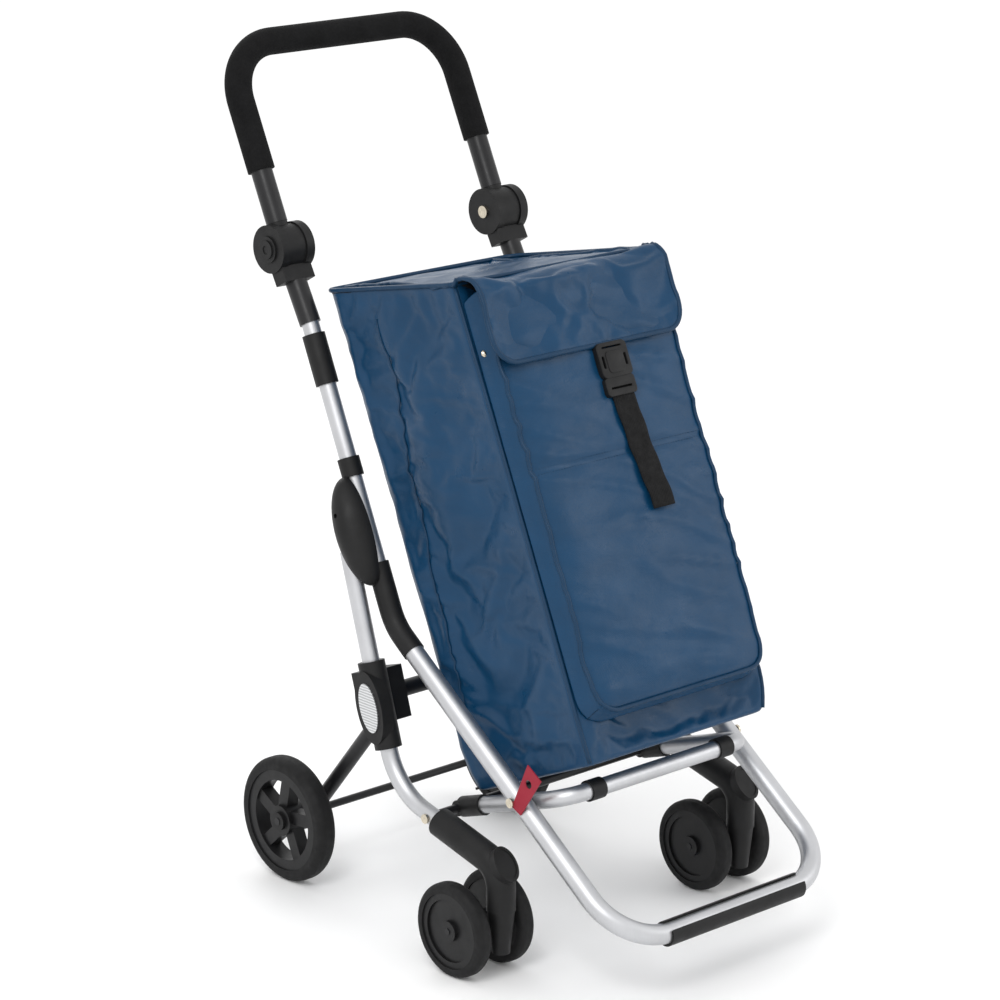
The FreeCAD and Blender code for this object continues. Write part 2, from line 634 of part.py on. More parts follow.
bar_blank = cylinder("CrossBarBlank", cross_bar - X_AXIS * (leg_gauge - tube_radius), X_AXIS,
                     "Sizes.cross_bar_radius", "2 * Sizes.leg_half_gauge - Sizes.frame_tube_od")
bar_threads = [
    cross_cylinder("BarThread_" + name, side, leg_gauge - tube_radius - SCREW_BITE,
                   cross_bar.y, cross_bar.z, "Sizes.screw_radius", "%f" % (2 * SCREW_BITE))
    for name, side in SIDES]
keep(cut("CrossBar", bar_blank, bar_threads), "cross_bar")


# ---------------------------------------------------------------- casters
SWIVEL_PIN = 5.0
HOUSING_SOCKET = 22.0
PIN_HEIGHT = 42.0
BROW_LONG = 23.0
BROW_SHORT = 16.0
BROW_LOW = -6.0
BROW_HIGH = 12.5
BROW_RECESS = 1.2
BROW_RIM = 0.82
POST_FOOT = 34.0
POST_FOOT_RADIUS = 11.0
POST_TOP_RADIUS = 17.0
FORK_BOSS = 13.0
ARM_WIDTH = 20.0
ARM_DEPTH = 22.0
stem_corner_z = foot_end.z + (mm("stem_y") - foot_end.y) * math.tan(foot_angle)
stem_corner = point(mm("stem_y"), stem_corner_z)
housing_start = foot_end - along_foot * HOUSING_SOCKET
housing_x = along_foot.cross(X_AXIS)
CASTER_HUB_STEP = 3.0
TYRE_SEAT = 12.0
HUB_INSET = 2.0
HUB_DISH = 20.0
HUB_BOSS = 13.0
TYRE_ROUND = 8.0


def caster(name, side):
    down = point(0, -1)
    start = housing_start + point(0, 0, side * leg_gauge)
    first_run = (stem_corner - housing_start).Length
    last_run = stem_corner.z - mm("stem_bottom")
    path = [
        FreeCAD.Vector(0, 0, 0), FreeCAD.Vector(0, first_run, 0),
        FreeCAD.Vector(down.dot(housing_x) * last_run, first_run + down.dot(along_foot) * last_run, 0)]
    tube = bent_tube("HousingTube_" + name, frame_placement(start, housing_x, along_foot), path,
                     "shelf_bend", "Sizes.housing_radius")
    brow_out = (along_foot - down).normalize()
    brow_along = brow_out.cross(X_AXIS)
    corner = stem_corner + point(0, 0, side * leg_gauge)
    brow = oval_plate("HousingBrow_" + name, corner + brow_out * BROW_LOW, brow_along * BROW_LONG,
                      X_AXIS * BROW_SHORT, brow_out * (BROW_HIGH - BROW_LOW))
    recess = oval_plate("HousingRecess_" + name, corner + brow_out * (BROW_HIGH - BROW_RECESS),
                        brow_along * BROW_LONG * BROW_RIM, X_AXIS * BROW_SHORT * BROW_RIM,
                        brow_out * (2 * BROW_RECESS))
    socket = cylinder("HousingSocket_" + name, start - along_foot * PAST, along_foot,
                      tube_skin, "%f" % (HOUSING_SOCKET + PAST))
    stem = point(mm("stem_y"), mm("stem_bottom") - PAST, side * leg_gauge)
    pin_bore = cylinder("HousingPin_" + name, stem, point(0, 1),
                        "%f + Sizes.running_clearance" % SWIVEL_PIN, "%f" % (PIN_HEIGHT + 2 * PAST))
    keep(cut("Housing_" + name, fused("HousingSolid_" + name, [tube, brow]),
             [recess, socket, pin_bore]), "caster_housing_" + name)

    top = mm("stem_bottom") - mm("side_clearance")
    pin = cylinder("SwivelPin_" + name, point(mm("stem_y"), top - PAST, side * leg_gauge),
                   point(0, 1), "%f" % SWIVEL_PIN, "%f" % PIN_HEIGHT)
    post = doc.addObject("Part::Cone", "SwivelPost_" + name)
    post.Radius1 = POST_FOOT_RADIUS
    post.Radius2 = POST_TOP_RADIUS
    post.Height = top - POST_FOOT
    post.Placement = FreeCAD.Placement(point(mm("stem_y"), POST_FOOT, side * leg_gauge),
                                       FreeCAD.Rotation())
    hub_width = 2 * (mm("caster_outer") - mm("caster_width") - mm("side_clearance"))
    boss = cylinder("SwivelBoss_" + name,
                    caster_axle + point(0, 0, side * leg_gauge - hub_width / 2), X_AXIS,
                    "%f" % FORK_BOSS, "%f" % hub_width)
    arm = doc.addObject("Part::Box", "SwivelArm_" + name)
    arm.Length = ARM_WIDTH
    arm.Width = mm("caster_trail")
    arm.Height = ARM_DEPTH
    arm.Placement = FreeCAD.Placement(
        point(mm("stem_y"), caster_axle.z - ARM_DEPTH / 2, side * leg_gauge - ARM_WIDTH / 2),
        FreeCAD.Rotation())
    reach = mm("caster_outer") + PAST
    axle_bore = cylinder("SwivelBore_" + name, caster_axle + point(0, 0, side * leg_gauge - reach),
                         X_AXIS, "Sizes.caster_axle_radius", "%f" % (2 * reach))
    keep(cut("CasterFork_" + name, fused("SwivelSolid_" + name, [pin, post, boss, arm]), [axle_bore]),
         "caster_fork_" + name)
    keep(cylinder("CasterAxle_" + name, caster_axle + point(0, 0, side * leg_gauge - reach), X_AXIS,
                  "Sizes.caster_axle_radius", "%f" % (2 * reach)), "caster_axle_" + name)
    for place, way in (("inner", -side), ("outer", side)):
        wheel(name + "_" + place, side * leg_gauge, way)


def wheel(name, middle_x, way):
    """One caster wheel: a rubber tyre on a dished hub."""
    near = mm("caster_outer") - mm("caster_width")
    start = caster_axle + point(0, 0, middle_x + way * near)
    direction = X_AXIS * way
    tyre_blank = cylinder("TyreBlank_" + name, start, direction,
                          "Sizes.caster_radius", "Sizes.caster_width")
    doc.recompute()
    rounded = doc.addObject("Part::Fillet", "TyreRound_" + name)
    rounded.Base = tyre_blank
    rounded.Edges = [(index + 1, TYRE_ROUND, TYRE_ROUND)
                     for index, edge in enumerate(tyre_blank.Shape.Edges) if edge.Closed]
    seat_radius = "Sizes.caster_radius - %f" % TYRE_SEAT
    seat = cylinder("TyreSeat_" + name, start - direction * PAST, direction,
                    seat_radius, "Sizes.caster_width + %f" % (2 * PAST))
    keep(cut("Tyre_" + name, rounded, [seat]), "caster_tyre_" + name)
    disc = cylinder("HubDisc_" + name, start + direction * HUB_INSET, direction,
                    seat_radius, "Sizes.caster_width - %f" % (2 * HUB_INSET))
    dish_start = mm("caster_width") - HUB_INSET - CASTER_HUB_STEP
    dish = cylinder("HubDish_" + name, start + direction * dish_start, direction,
                    "Sizes.caster_radius - %f" % HUB_DISH, "%f" % (2 * CASTER_HUB_STEP))
    boss = cylinder("HubBoss_" + name, start + direction * HUB_INSET, direction,
                    "%f" % HUB_BOSS, "Sizes.caster_width - %f" % HUB_INSET)
    bore = cylinder("HubBore_" + name, start - direction * PAST, direction,
                    "Sizes.caster_axle_radius + Sizes.running_clearance",
                    "Sizes.caster_width + %f" % (2 * PAST))
    dished = cut("HubDished_" + name, disc, [dish])
    keep(cut("Hub_" + name, fused("HubSolid_" + name, [dished, boss]), [bore]),
         "caster_hub_" + name)


for name, side in SIDES:
    caster(name, side)


# ---------------------------------------------------------------- rear leg and wheels
strut_half = mm("strut_od") / 2
along_strut = (axle - leg_pivot).normalize()
strut_length = (axle - leg_pivot).Length
leg_span = strut_gauge + strut_half
STRUT_BOSS = 13.0
AXLE_END = 6.0
axle_reach = mm("wheel_outer") + AXLE_END
leg_pieces = [cylinder("LegCrossTube", leg_pivot - X_AXIS * leg_span, X_AXIS,
                       "Sizes.strut_od / 2 + 1", "2 * Sizes.strut_half_gauge + Sizes.strut_od")]
leg_holes = [cylinder("LegAxleBore", axle - X_AXIS * axle_reach, X_AXIS,
                      "Sizes.axle_radius", "%f" % (2 * axle_reach))]
for name, side in SIDES:
    leg_pieces.append(cylinder("Strut_" + name, leg_pivot + point(0, 0, side * strut_gauge),
                               along_strut, "Sizes.strut_od / 2", "%f" % strut_length))
    leg_pieces.append(cross_cylinder("StrutEnd_" + name, side, strut_gauge - strut_half, axle.y, axle.z,
                                     "%f" % STRUT_BOSS, "Sizes.strut_od"))
    leg_holes.append(cross_cylinder(
        "StrutPin_" + name, side, strut_gauge - PIN_INSET - PAST, leg_pivot.y, leg_pivot.z,
        "Sizes.pivot_radius + Sizes.running_clearance", "2 * Sizes.strut_od"))
keep(cut("RearLeg", fused("RearLegSolid", leg_pieces), leg_holes), "rear_leg")

keep(cylinder("RearAxle", axle - X_AXIS * axle_reach, X_AXIS, "Sizes.axle_radius",
              "%f" % (2 * axle_reach)), "rear_axle")
WHEEL_ROUND = 10.0
RIM_STEP = 16.0
RIM_WALL = 13.5
RIM_INSET = 2.0
SPOKES = 5
SPOKE_WIDTH = 17.0
SPOKE_SHIFT = 5.0
SPOKE_INSET = 5.0
SPOKE_TURN = 12.0
HUB_RADIUS = 20.0
HUB_PROUD = 1.0
CAP_RADIUS = 12.0
CAP_THICKNESS = 4.0
caps = []
for name, side in SIDES:
    near = mm("wheel_outer") - mm("wheel_width")
    blank = cross_cylinder("RearBlank_" + name, side, near, axle.y, axle.z,
                           "Sizes.wheel_radius", "Sizes.wheel_width")
    doc.recompute()
    rounded = doc.addObject("Part::Fillet", "RearRound_" + name)
    rounded.Base = blank
    rounded.Edges = [(index + 1, WHEEL_ROUND, WHEEL_ROUND)
                     for index, edge in enumerate(blank.Shape.Edges) if edge.Closed]
    seat_radius = "Sizes.wheel_radius - %f" % RIM_STEP
    seat = cross_cylinder("RearSeat_" + name, side, near - PAST, axle.y, axle.z,
                          seat_radius, "Sizes.wheel_width + %f" % (2 * PAST))
    keep(cut("RearTyre_" + name, rounded, [seat]), "rear_tyre_" + name)

    rim_outer = cross_cylinder("RimOuter_" + name, side, near + RIM_INSET, axle.y, axle.z,
                               seat_radius, "Sizes.wheel_width - %f" % (2 * RIM_INSET))
    rim_inner = cross_cylinder("RimInner_" + name, side, near, axle.y, axle.z,
                               "Sizes.wheel_radius - %f" % (RIM_STEP + RIM_WALL),
                               "Sizes.wheel_width")
    rim_ring = cut("Rim_" + name, rim_outer, [rim_inner])
    boss_start = strut_gauge + strut_half + mm("side_clearance")
    boss_end = mm("wheel_outer") + HUB_PROUD
    boss = cross_cylinder("RearBoss_" + name, side, boss_start, axle.y, axle.z,
                          "%f" % HUB_RADIUS, "%f" % (boss_end - boss_start))
    spokes = []
    for count in range(SPOKES):
        spoke = doc.addObject("Part::Box", "Spoke%d_%s" % (count, name))
        spoke.Length = mm("wheel_width") - 2 * SPOKE_INSET
        spoke.Width = SPOKE_WIDTH
        spoke.Height = mm("wheel_radius") - RIM_STEP - RIM_WALL / 2
        turn = FreeCAD.Rotation(X_AXIS, 360.0 * count / SPOKES + SPOKE_TURN)
        corner = turn.multVec(FreeCAD.Vector(0, SPOKE_SHIFT - SPOKE_WIDTH / 2, 0))
        near_face = near + SPOKE_INSET
        x_low = near_face if side > 0 else -near_face - spoke.Length.Value
        spoke.Placement = FreeCAD.Placement(axle + corner + X_AXIS * x_low, turn)
        spokes.append(spoke)
    bore = cross_cylinder("RearBore_" + name, side, strut_gauge, axle.y, axle.z,
                          "Sizes.axle_radius + Sizes.running_clearance", "Sizes.wheel_outer")
    solid = fused("RearHubSolid_" + name, [rim_ring, boss] + spokes)
    keep(cut("RearHub_" + name, solid, [bore]), "rear_hub_" + name)
    cap_blank = cross_cylinder("CapBlank_" + name, side, boss_end + mm("side_clearance"),
                               axle.y, axle.z, "%f" % CAP_RADIUS, "%f" % CAP_THICKNESS)
    cap_bore = cross_cylinder("CapBore_" + name, side, mm("wheel_outer"), axle.y, axle.z,
                              "Sizes.axle_radius", "%f" % AXLE_END)
    caps.append(cut("Cap_" + name, cap_blank, [cap_bore]))
keep(together("AxleCaps", caps), "axle_caps")


# ---------------------------------------------------------------- shelf
shelf_gauge = gauge - loop_radius - mm("shelf_od") / 2
SHELF_START = 14.0
CLIP_WALL = 2.5
CLIP_RING_WALL = 4.0
CLIP_ARM = 40.0
CLIP_WIDTH = 22.0
SADDLE_FROM_BEND = 24.0
shelf_reach = mm("shelf_length") - SHELF_START
shelf_path = [
    FreeCAD.Vector(-shelf_gauge, 0, 0), FreeCAD.Vector(-shelf_gauge, shelf_reach, 0),
    FreeCAD.Vector(shelf_gauge, shelf_reach, 0), FreeCAD.Vector(shelf_gauge, 0, 0)]
shelf = bent_tube("Shelf", frame_placement(cross_bar + along_shelf * SHELF_START, X_AXIS, along_shelf),
                  shelf_path, "shelf_bend", "Sizes.shelf_od / 2", "Sizes.shelf_od / 2 - Sizes.tube_wall")
keep(shelf, "shelf_tube")
clips = []
for name, side in SIDES:
    middle = cross_bar + point(0, 0, side * shelf_gauge)
    around = cylinder("ClipRing_" + name, middle - X_AXIS * (CLIP_WIDTH / 2), X_AXIS,
                      "Sizes.cross_bar_radius + %f" % CLIP_RING_WALL, "%f" % CLIP_WIDTH)
    clip_skin = "Sizes.shelf_od / 2 + %f" % CLIP_WALL
    arm = cylinder("ClipArm_" + name, middle, along_shelf, clip_skin, "%f" % CLIP_ARM)
    bar = cylinder("ClipBar_" + name, middle - X_AXIS * CLIP_WIDTH, X_AXIS,
                   "Sizes.cross_bar_radius", "%f" % (2 * CLIP_WIDTH))
    tube = cylinder("ClipTube_" + name, middle + along_shelf * SHELF_START, along_shelf,
                    "Sizes.shelf_od / 2", "%f" % CLIP_ARM)
    clips.append(cut("Clip_" + name, fused("ClipSolid_" + name, [around, arm]), [bar, tube]))
    saddle_x = side * (shelf_gauge - mm("shelf_bend") - SADDLE_FROM_BEND)
    saddle_start = shelf_front + point(0, 0, saddle_x)
    saddle = cylinder("SaddleOuter_" + name, saddle_start, X_AXIS * side,
                      clip_skin, "%f" % CLIP_WIDTH)
    hole = cylinder("SaddleHole_" + name, saddle_start, X_AXIS * side,
                    "Sizes.shelf_od / 2", "%f" % CLIP_WIDTH)
    clips.append(cut("Saddle_" + name, saddle, [hole]))
keep(together("ShelfClips", clips), "shelf_clips")

TAG_THICKNESS = 1.6
TAG_HOLE = 5.5
TAG_SCREW = 279.5
TAG_CORNERS = ((-196, 211), (-181, 218), (-208, 278), (-231, 263))
tag_x = gauge + loop_radius
tag_corners = [point(y, z, -tag_x) for y, z in TAG_CORNERS]
tag_outline = Part.makePolygon(tag_corners + tag_corners[:1])
tag_solid = Part.Face(tag_outline).extrude(X_AXIS * -TAG_THICKNESS)
tag_hole = Part.makeCylinder(TAG_HOLE, 2 * TAG_THICKNESS,
                             point(-209.5, 254, TAG_THICKNESS / 2 - tag_x), X_AXIS * -1)
keep(shaped("Tag", tag_solid.cut(tag_hole)), "shelf_tag")
tag_screw = knee + down_loop * TAG_SCREW
for name, side in SIDES:
    screws.append(cross_cylinder(
        "TagScrew_" + name, side, tag_x + TAG_THICKNESS, tag_screw.y, tag_screw.z,
        "Sizes.screw_radius + %f" % SCREW_HEAD, "%f" % SCREW_HEAD))
keep(together("Screws", screws), "frame_screws")


# ---------------------------------------------------------------- bag
BAG_ORIGIN_HEIGHT = 154.0
BOARD_INSET = 12.0
BOARD_THICKNESS = 3.0
MOUTH_ROOM = 5.0
bag_origin = knee + up_frame * BAG_ORIGIN_HEIGHT
forward = point(-up_frame.z, up_frame.y)
bag_place = frame_placement(bag_origin, X_AXIS, forward * -1)
half_width = mm("bag_half_width")
wall = mm("bag_wall")
rim = mm("bag_foot") + mm("bag_height")
bag_front = mm("bag_back") + mm("bag_depth")
fall = math.radians(mm("top_fall"))
gap = mm("side_clearance")


def closed_outline(sketch, corners):
    """Straight-sided closed outline through the corners."""
    for start, end in zip(corners, corners[1:] + corners[:1]):
        sketch.addGeometry(Part.LineSegment(start, end), False)
    for edge in range(len(corners)):
        following = (edge + 1) % len(corners)
        sketch.addConstraint(Sketcher.Constraint("Coincident", edge, 2, following, 1))


def pocketed(body, name, sketch, **settings):
    """Cuts a pocket and makes sure that it took material away."""
    doc.recompute()
    before = body.Shape.Volume
    pocket = body.newObject("PartDesign::Pocket", name)
    pocket.Profile = sketch
    for prop, value in settings.items():
        if isinstance(value, str) and value.startswith("Sizes."):
            pocket.setExpression(prop, value)
        else:
            setattr(pocket, prop, value)
    doc.recompute()
    if body.Shape.Volume > before - 1:
        raise ValueError(name + " cut nothing")


bag = box_body("BagBody", bag_place, half_width, mm("bag_back"), mm("bag_depth"),
               mm("bag_foot"), mm("bag_height"), "bag_round")
hollow = body_sketch(bag, "BagHollow", "XY_Plane", rim)
closed_outline(hollow, [
    FreeCAD.Vector(-half_width + wall, -mm("bag_back") - wall, 0),
    FreeCAD.Vector(half_width - wall, -mm("bag_back") - wall, 0),
    FreeCAD.Vector(half_width - wall, -bag_front + wall, 0),
    FreeCAD.Vector(-half_width + wall, -bag_front + wall, 0)])
pocketed(bag, "BagInside", hollow, Length="Sizes.bag_height - Sizes.bag_wall")
mouth = body_sketch(bag, "BagMouth", "YZ_Plane")
closed_outline(mouth, [
    FreeCAD.Vector(-mm("bag_back") + PAST, rim, 0),
    FreeCAD.Vector(-mm("bag_back"), rim, 0),
    FreeCAD.Vector(-bag_front - PAST, rim - (mm("bag_depth") + PAST) * math.tan(fall), 0),
    FreeCAD.Vector(-bag_front - PAST, rim + MOUTH_ROOM, 0),
    FreeCAD.Vector(-mm("bag_back") + PAST, rim + MOUTH_ROOM, 0)])
pocketed(bag, "BagRim", mouth, Midplane=True, Length=2 * (half_width + MOUTH_ROOM))
keep(bag, "bag_body")

keep(box_body("BaseBoard", bag_place, half_width - BOARD_INSET, mm("bag_back") + BOARD_INSET,
              mm("bag_depth") - 2 * BOARD_INSET, mm("bag_foot") + wall, BOARD_THICKNESS), "base_board")
keep(box_body("FrontPocket", bag_place, mm("front_half_width"), bag_front, mm("front_depth"),
              mm("bag_foot") + mm("front_foot"), mm("front_height")), "front_pocket")

# The flap's top follows the sloping rim and its front hangs over the front compartment.
flap_face = bag_front + mm("front_depth") + gap
flap_reach = flap_face + mm("flap_thickness") - mm("bag_back")
rim_place = bag_place.multiply(FreeCAD.Placement(
    FreeCAD.Vector(0, -mm("bag_back"), rim + gap),
    FreeCAD.Rotation(X_AXIS, mm("top_fall"))))
flap_top = box_body("FlapTop", rim_place, mm("flap_half_width"), 0, flap_reach / math.cos(fall),
                    0, mm("flap_thickness"))
flap_high = rim + gap - (flap_reach - mm("flap_thickness")) * math.tan(fall) + PAST
flap_low = flap_high - mm("flap_drop")
flap_front = box_body("FlapFront", bag_place, mm("flap_half_width"), flap_face,
                      mm("flap_thickness"), flap_low, mm("flap_drop"))
keep(fused("Flap", [flap_top, flap_front]), "bag_flap")

# Side-release buckle: the socket hangs on the flap, the plug and webbing on the bag.
BUCKLE_WIDTH = 48.0
BUCKLE_DEPTH = 10.0
SOCKET_LENGTH = 42.0
PLUG_LENGTH_OUT = 22.0
WEBBING = 2.5
buckle_place = bag_place.multiply(FreeCAD.Placement(
    FreeCAD.Vector(mm("buckle_offset"), 0, 0), FreeCAD.Rotation()))
socket_foot = flap_low - SOCKET_LENGTH
plug_foot = socket_foot - gap - PLUG_LENGTH_OUT
keep(box_body("BuckleSocket", buckle_place, BUCKLE_WIDTH / 2, flap_face, BUCKLE_DEPTH,
              socket_foot, SOCKET_LENGTH), "buckle_socket")
keep(box_body("BucklePlug", buckle_place, BUCKLE_WIDTH / 2, flap_face, BUCKLE_DEPTH,
              plug_foot, PLUG_LENGTH_OUT), "buckle_plug")
keep(box_body("Strap", buckle_place, mm("strap_width") / 2, flap_face, WEBBING,
              plug_foot - mm("strap_length"), mm("strap_length")), "strap")


# ---------------------------------------------------------------- check and write
doc.recompute()
for obj in doc.Objects:
    if "Invalid" in obj.State or "Error" in obj.State:
        raise ValueError("failed feature: %s %s" % (obj.Name, obj.State))
labels = [obj.Label for obj in sub_parts]
if len(set(labels)) != len(labels):
    raise ValueError("two sub-parts share a name")
for obj in sub_parts:
    if obj.Shape.isNull() or not obj.Shape.isValid() or not obj.Shape.Solids:
        raise ValueError("bad shape: " + obj.Label)

os.makedirs("parts", exist_ok=True)
for obj in sub_parts:
    obj.Shape.exportStep("parts/%s.step" % obj.Label)
print("%d sub-parts" % len(sub_parts))
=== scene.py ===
import json
import math

import bmesh
import bpy
from mathutils import Matrix, Vector, noise
from mathutils.bvhtree import BVHTree


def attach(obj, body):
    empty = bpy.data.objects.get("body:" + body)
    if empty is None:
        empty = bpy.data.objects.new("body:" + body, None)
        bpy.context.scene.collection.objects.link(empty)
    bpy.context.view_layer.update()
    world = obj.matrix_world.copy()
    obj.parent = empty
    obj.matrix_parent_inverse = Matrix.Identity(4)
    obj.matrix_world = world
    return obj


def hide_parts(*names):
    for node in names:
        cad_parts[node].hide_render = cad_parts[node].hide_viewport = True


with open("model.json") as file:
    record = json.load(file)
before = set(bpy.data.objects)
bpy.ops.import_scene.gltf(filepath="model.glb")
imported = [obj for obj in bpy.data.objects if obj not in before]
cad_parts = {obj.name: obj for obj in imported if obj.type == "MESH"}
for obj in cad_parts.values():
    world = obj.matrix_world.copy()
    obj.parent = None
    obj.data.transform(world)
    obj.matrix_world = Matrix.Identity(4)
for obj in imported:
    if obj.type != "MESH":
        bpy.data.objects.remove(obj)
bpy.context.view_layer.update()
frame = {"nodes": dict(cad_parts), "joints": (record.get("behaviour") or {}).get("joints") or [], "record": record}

MILLI = 0.001

# ------------------------------------------------------------------ the bag's own axes
# a runs up along the frame tubes from the bag's rim at the back, w runs forward from the
# bag's back face, and x runs across.  Everything soft is laid out in these three, in metres.
FRAME_LEAN = math.radians(23.7)
RIM_FALL = math.radians(12.5)
FLAP_GAP = 2.3 * MILLI
UP = Vector((0, math.sin(FRAME_LEAN), math.cos(FRAME_LEAN)))
FORWARD = Vector((0, -math.cos(FRAME_LEAN), math.sin(FRAME_LEAN)))
ACROSS = Vector((1, 0, 0))


def joint_position(name):
    for joint in frame["joints"]:
        if joint["name"] == name:
            return Vector(joint["pos_m"])
    raise ValueError("no joint " + name)


BAG_ORIGIN = joint_position("flap_open") - UP * FLAP_GAP


def bag_point(x, a, w):
    return BAG_ORIGIN + ACROSS * x + UP * a + FORWARD * w


def to_bag(where):
    """x, a and w of a point given in the frame's own axes."""
    offset = Vector(where) - BAG_ORIGIN
    return offset.x, offset.dot(UP), offset.dot(FORWARD)


BAG_HALF = 0.158
BAG_DEEP = 0.243
BAG_FOOT = -0.644
FRONT_HALF = 0.142
FRONT_DEEP = BAG_DEEP + 0.033
FRONT_FOOT = BAG_FOOT + 0.056
FRONT_TOP = -0.068
FLAP_HALF = 0.155
FLAP_LOW = -0.163
BUCKLE_X = 0.020
STRAP_LOW = FLAP_LOW - 0.042 - 0.0225 - 0.143


def rim_height(w):
    """The bag's rim falls towards the front."""
    return -w * math.tan(RIM_FALL)


# ------------------------------------------------------------------ materials
class Nodes:
    """Small helper that adds nodes to one material and links them."""

    def __init__(self, name):
        self.material = bpy.data.materials.new(name)
        self.material.use_nodes = True
        self.tree = self.material.node_tree
        self.shader = self.tree.nodes["Principled BSDF"]
        self.coordinates = self.tree.nodes.new("ShaderNodeTexCoord").outputs["Object"]

    def add(self, kind, inputs=None, **settings):
        node = self.tree.nodes.new(kind)
        for key, value in settings.items():
            setattr(node, key, value)
        for key, value in (inputs or {}).items():
            self.put(node.inputs[key], value)
        return node

    def put(self, socket, value):
        if isinstance(value, bpy.types.NodeSocket):
            self.tree.links.new(value, socket)
        else:
            socket.default_value = value

    def set(self, **values):
        for key, value in values.items():
            self.put(self.shader.inputs[key.replace("_", " ")], value)

    def noise(self, scale, detail=4.0, roughness=0.55, stretch=None):
        vector = self.coordinates
        if stretch:
            vector = self.add("ShaderNodeMapping", {"Vector": vector, "Scale": stretch}).outputs[0]
        return self.add("ShaderNodeTexNoise", {
            "Vector": vector, "Scale": scale, "Detail": detail, "Roughness": roughness}).outputs["Fac"]

    def spread(self, factor, low, high, start=0.3, end=0.7):
        """Maps a 0 to 1 factor to a range of values."""
        return self.add("ShaderNodeMapRange", {
            "Value": factor, "From Min": start, "From Max": end,
            "To Min": low, "To Max": high}).outputs[0]

    def colours(self, factor, *stops):
        ramp = self.add("ShaderNodeValToRGB", {"Fac": factor})
        elements = ramp.color_ramp.elements
        while len(elements) < len(stops):
            elements.new(0.5)
        for element, (place, colour) in zip(elements, stops):
            element.position = place
            element.color = (*colour, 1)
        return ramp.outputs["Color"]

    def bump(self, height, strength, distance, below=None):
        inputs = {"Height": height, "Strength": strength, "Distance": distance}
        if below is not None:
            inputs["Normal"] = below
        return self.add("ShaderNodeBump", inputs).outputs["Normal"]

    def maths(self, operation, first, second=0.0):
        node = self.add("ShaderNodeMath", operation=operation)
        self.put(node.inputs[0], first)
        self.put(node.inputs[1], second)
        return node.outputs[0]


def shade(colour, factor):
    return tuple(min(1.0, channel * factor) for channel in colour)


def moulded_plastic(name, colour, rough=0.5, grain=0.25):
    nodes = Nodes(name)
    cloudy = nodes.noise(28, 5)
    nodes.set(Base_Color=nodes.colours(cloudy, (0.3, shade(colour, 0.8)), (0.7, shade(colour, 1.25))))
    nodes.set(Roughness=nodes.spread(nodes.noise(60), rough - 0.07, rough + 0.09))
    speckle = nodes.noise(2600, 3)
    nodes.set(Normal=nodes.bump(speckle, grain, 0.0004))
    nodes.set(Specular_IOR_Level=0.25)
    return nodes.material


def powder_coat(name, colour):
    nodes = Nodes(name)
    peel = nodes.noise(900, 2)
    cloudy = nodes.noise(35, 4)
    nodes.set(Base_Color=nodes.colours(cloudy, (0.3, shade(colour, 0.85)), (0.7, shade(colour, 1.2))))
    nodes.set(Roughness=nodes.spread(nodes.noise(80), 0.3, 0.42))
    nodes.set(Normal=nodes.bump(peel, 0.12, 0.0003), Specular_IOR_Level=0.3)
    return nodes.material


def anodised(name, colour, along):
    """Satin aluminium with faint draw lines; along stretches the noise down the tube."""
    nodes = Nodes(name)
    lines = nodes.noise(700, 4, 0.6, along)
    cloudy = nodes.noise(14, 5)
    nodes.set(Base_Color=nodes.colours(cloudy, (0.35, shade(colour, 0.92)), (0.65, shade(colour, 1.05))))
    nodes.set(Roughness=nodes.spread(lines, 0.4, 0.52), Metallic=1.0)
    nodes.set(Normal=nodes.bump(lines, 0.06, 0.0002))
    return nodes.material


def foam(name, colour):
    nodes = Nodes(name)
    cells = nodes.add("ShaderNodeTexVoronoi", {"Vector": nodes.coordinates, "Scale": 700.0})
    soft = nodes.noise(45, 6)
    nodes.set(Base_Color=nodes.colours(soft, (0.3, shade(colour, 0.75)), (0.7, shade(colour, 1.35))))
    pitted = nodes.bump(cells.outputs["Distance"], 0.35, 0.0005)
    nodes.set(Roughness=nodes.spread(nodes.noise(300), 0.82, 0.97))
    nodes.set(Normal=nodes.bump(nodes.noise(160, 5), 0.25, 0.001, pitted), Specular_IOR_Level=0.15)
    return nodes.material


def rubber(name, colour):
    nodes = Nodes(name)
    dust = nodes.noise(40, 6)
    nodes.set(Base_Color=nodes.colours(dust, (0.35, colour), (0.75, shade(colour, 1.8))))
    nodes.set(Roughness=nodes.spread(nodes.noise(120), 0.62, 0.8))
    nodes.set(Normal=nodes.bump(nodes.noise(1500, 3), 0.2, 0.0003), Specular_IOR_Level=0.25)
    return nodes.material


def plated(name, colour):
    nodes = Nodes(name)
    stain = nodes.noise(220, 4)
    nodes.set(Base_Color=nodes.colours(stain, (0.3, shade(colour, 0.8)), (0.7, shade(colour, 1.1))))
    nodes.set(Roughness=nodes.spread(nodes.noise(500), 0.22, 0.38), Metallic=1.0)
    nodes.set(Normal=nodes.bump(nodes.noise(900, 2), 0.08, 0.0002))
    return nodes.material


def badge_metal(name, colour):
    """Brushed disc with plain concentric rings."""
    nodes = Nodes(name)
    rings = nodes.add("ShaderNodeTexWave", {
        "Vector": nodes.coordinates, "Scale": 90.0, "Distortion": 1.5, "Detail": 2.0},
        wave_type="BANDS", bands_direction="Z")
    nodes.set(Base_Color=nodes.colours(rings.outputs["Fac"], (0.2, shade(colour, 0.6)), (0.8, colour)))
    nodes.set(Roughness=nodes.spread(nodes.noise(400), 0.25, 0.4), Metallic=0.9)
    nodes.set(Normal=nodes.bump(rings.outputs["Fac"], 0.4, 0.0006))
    return nodes.material


THREADS_PER_METRE = 2600.0


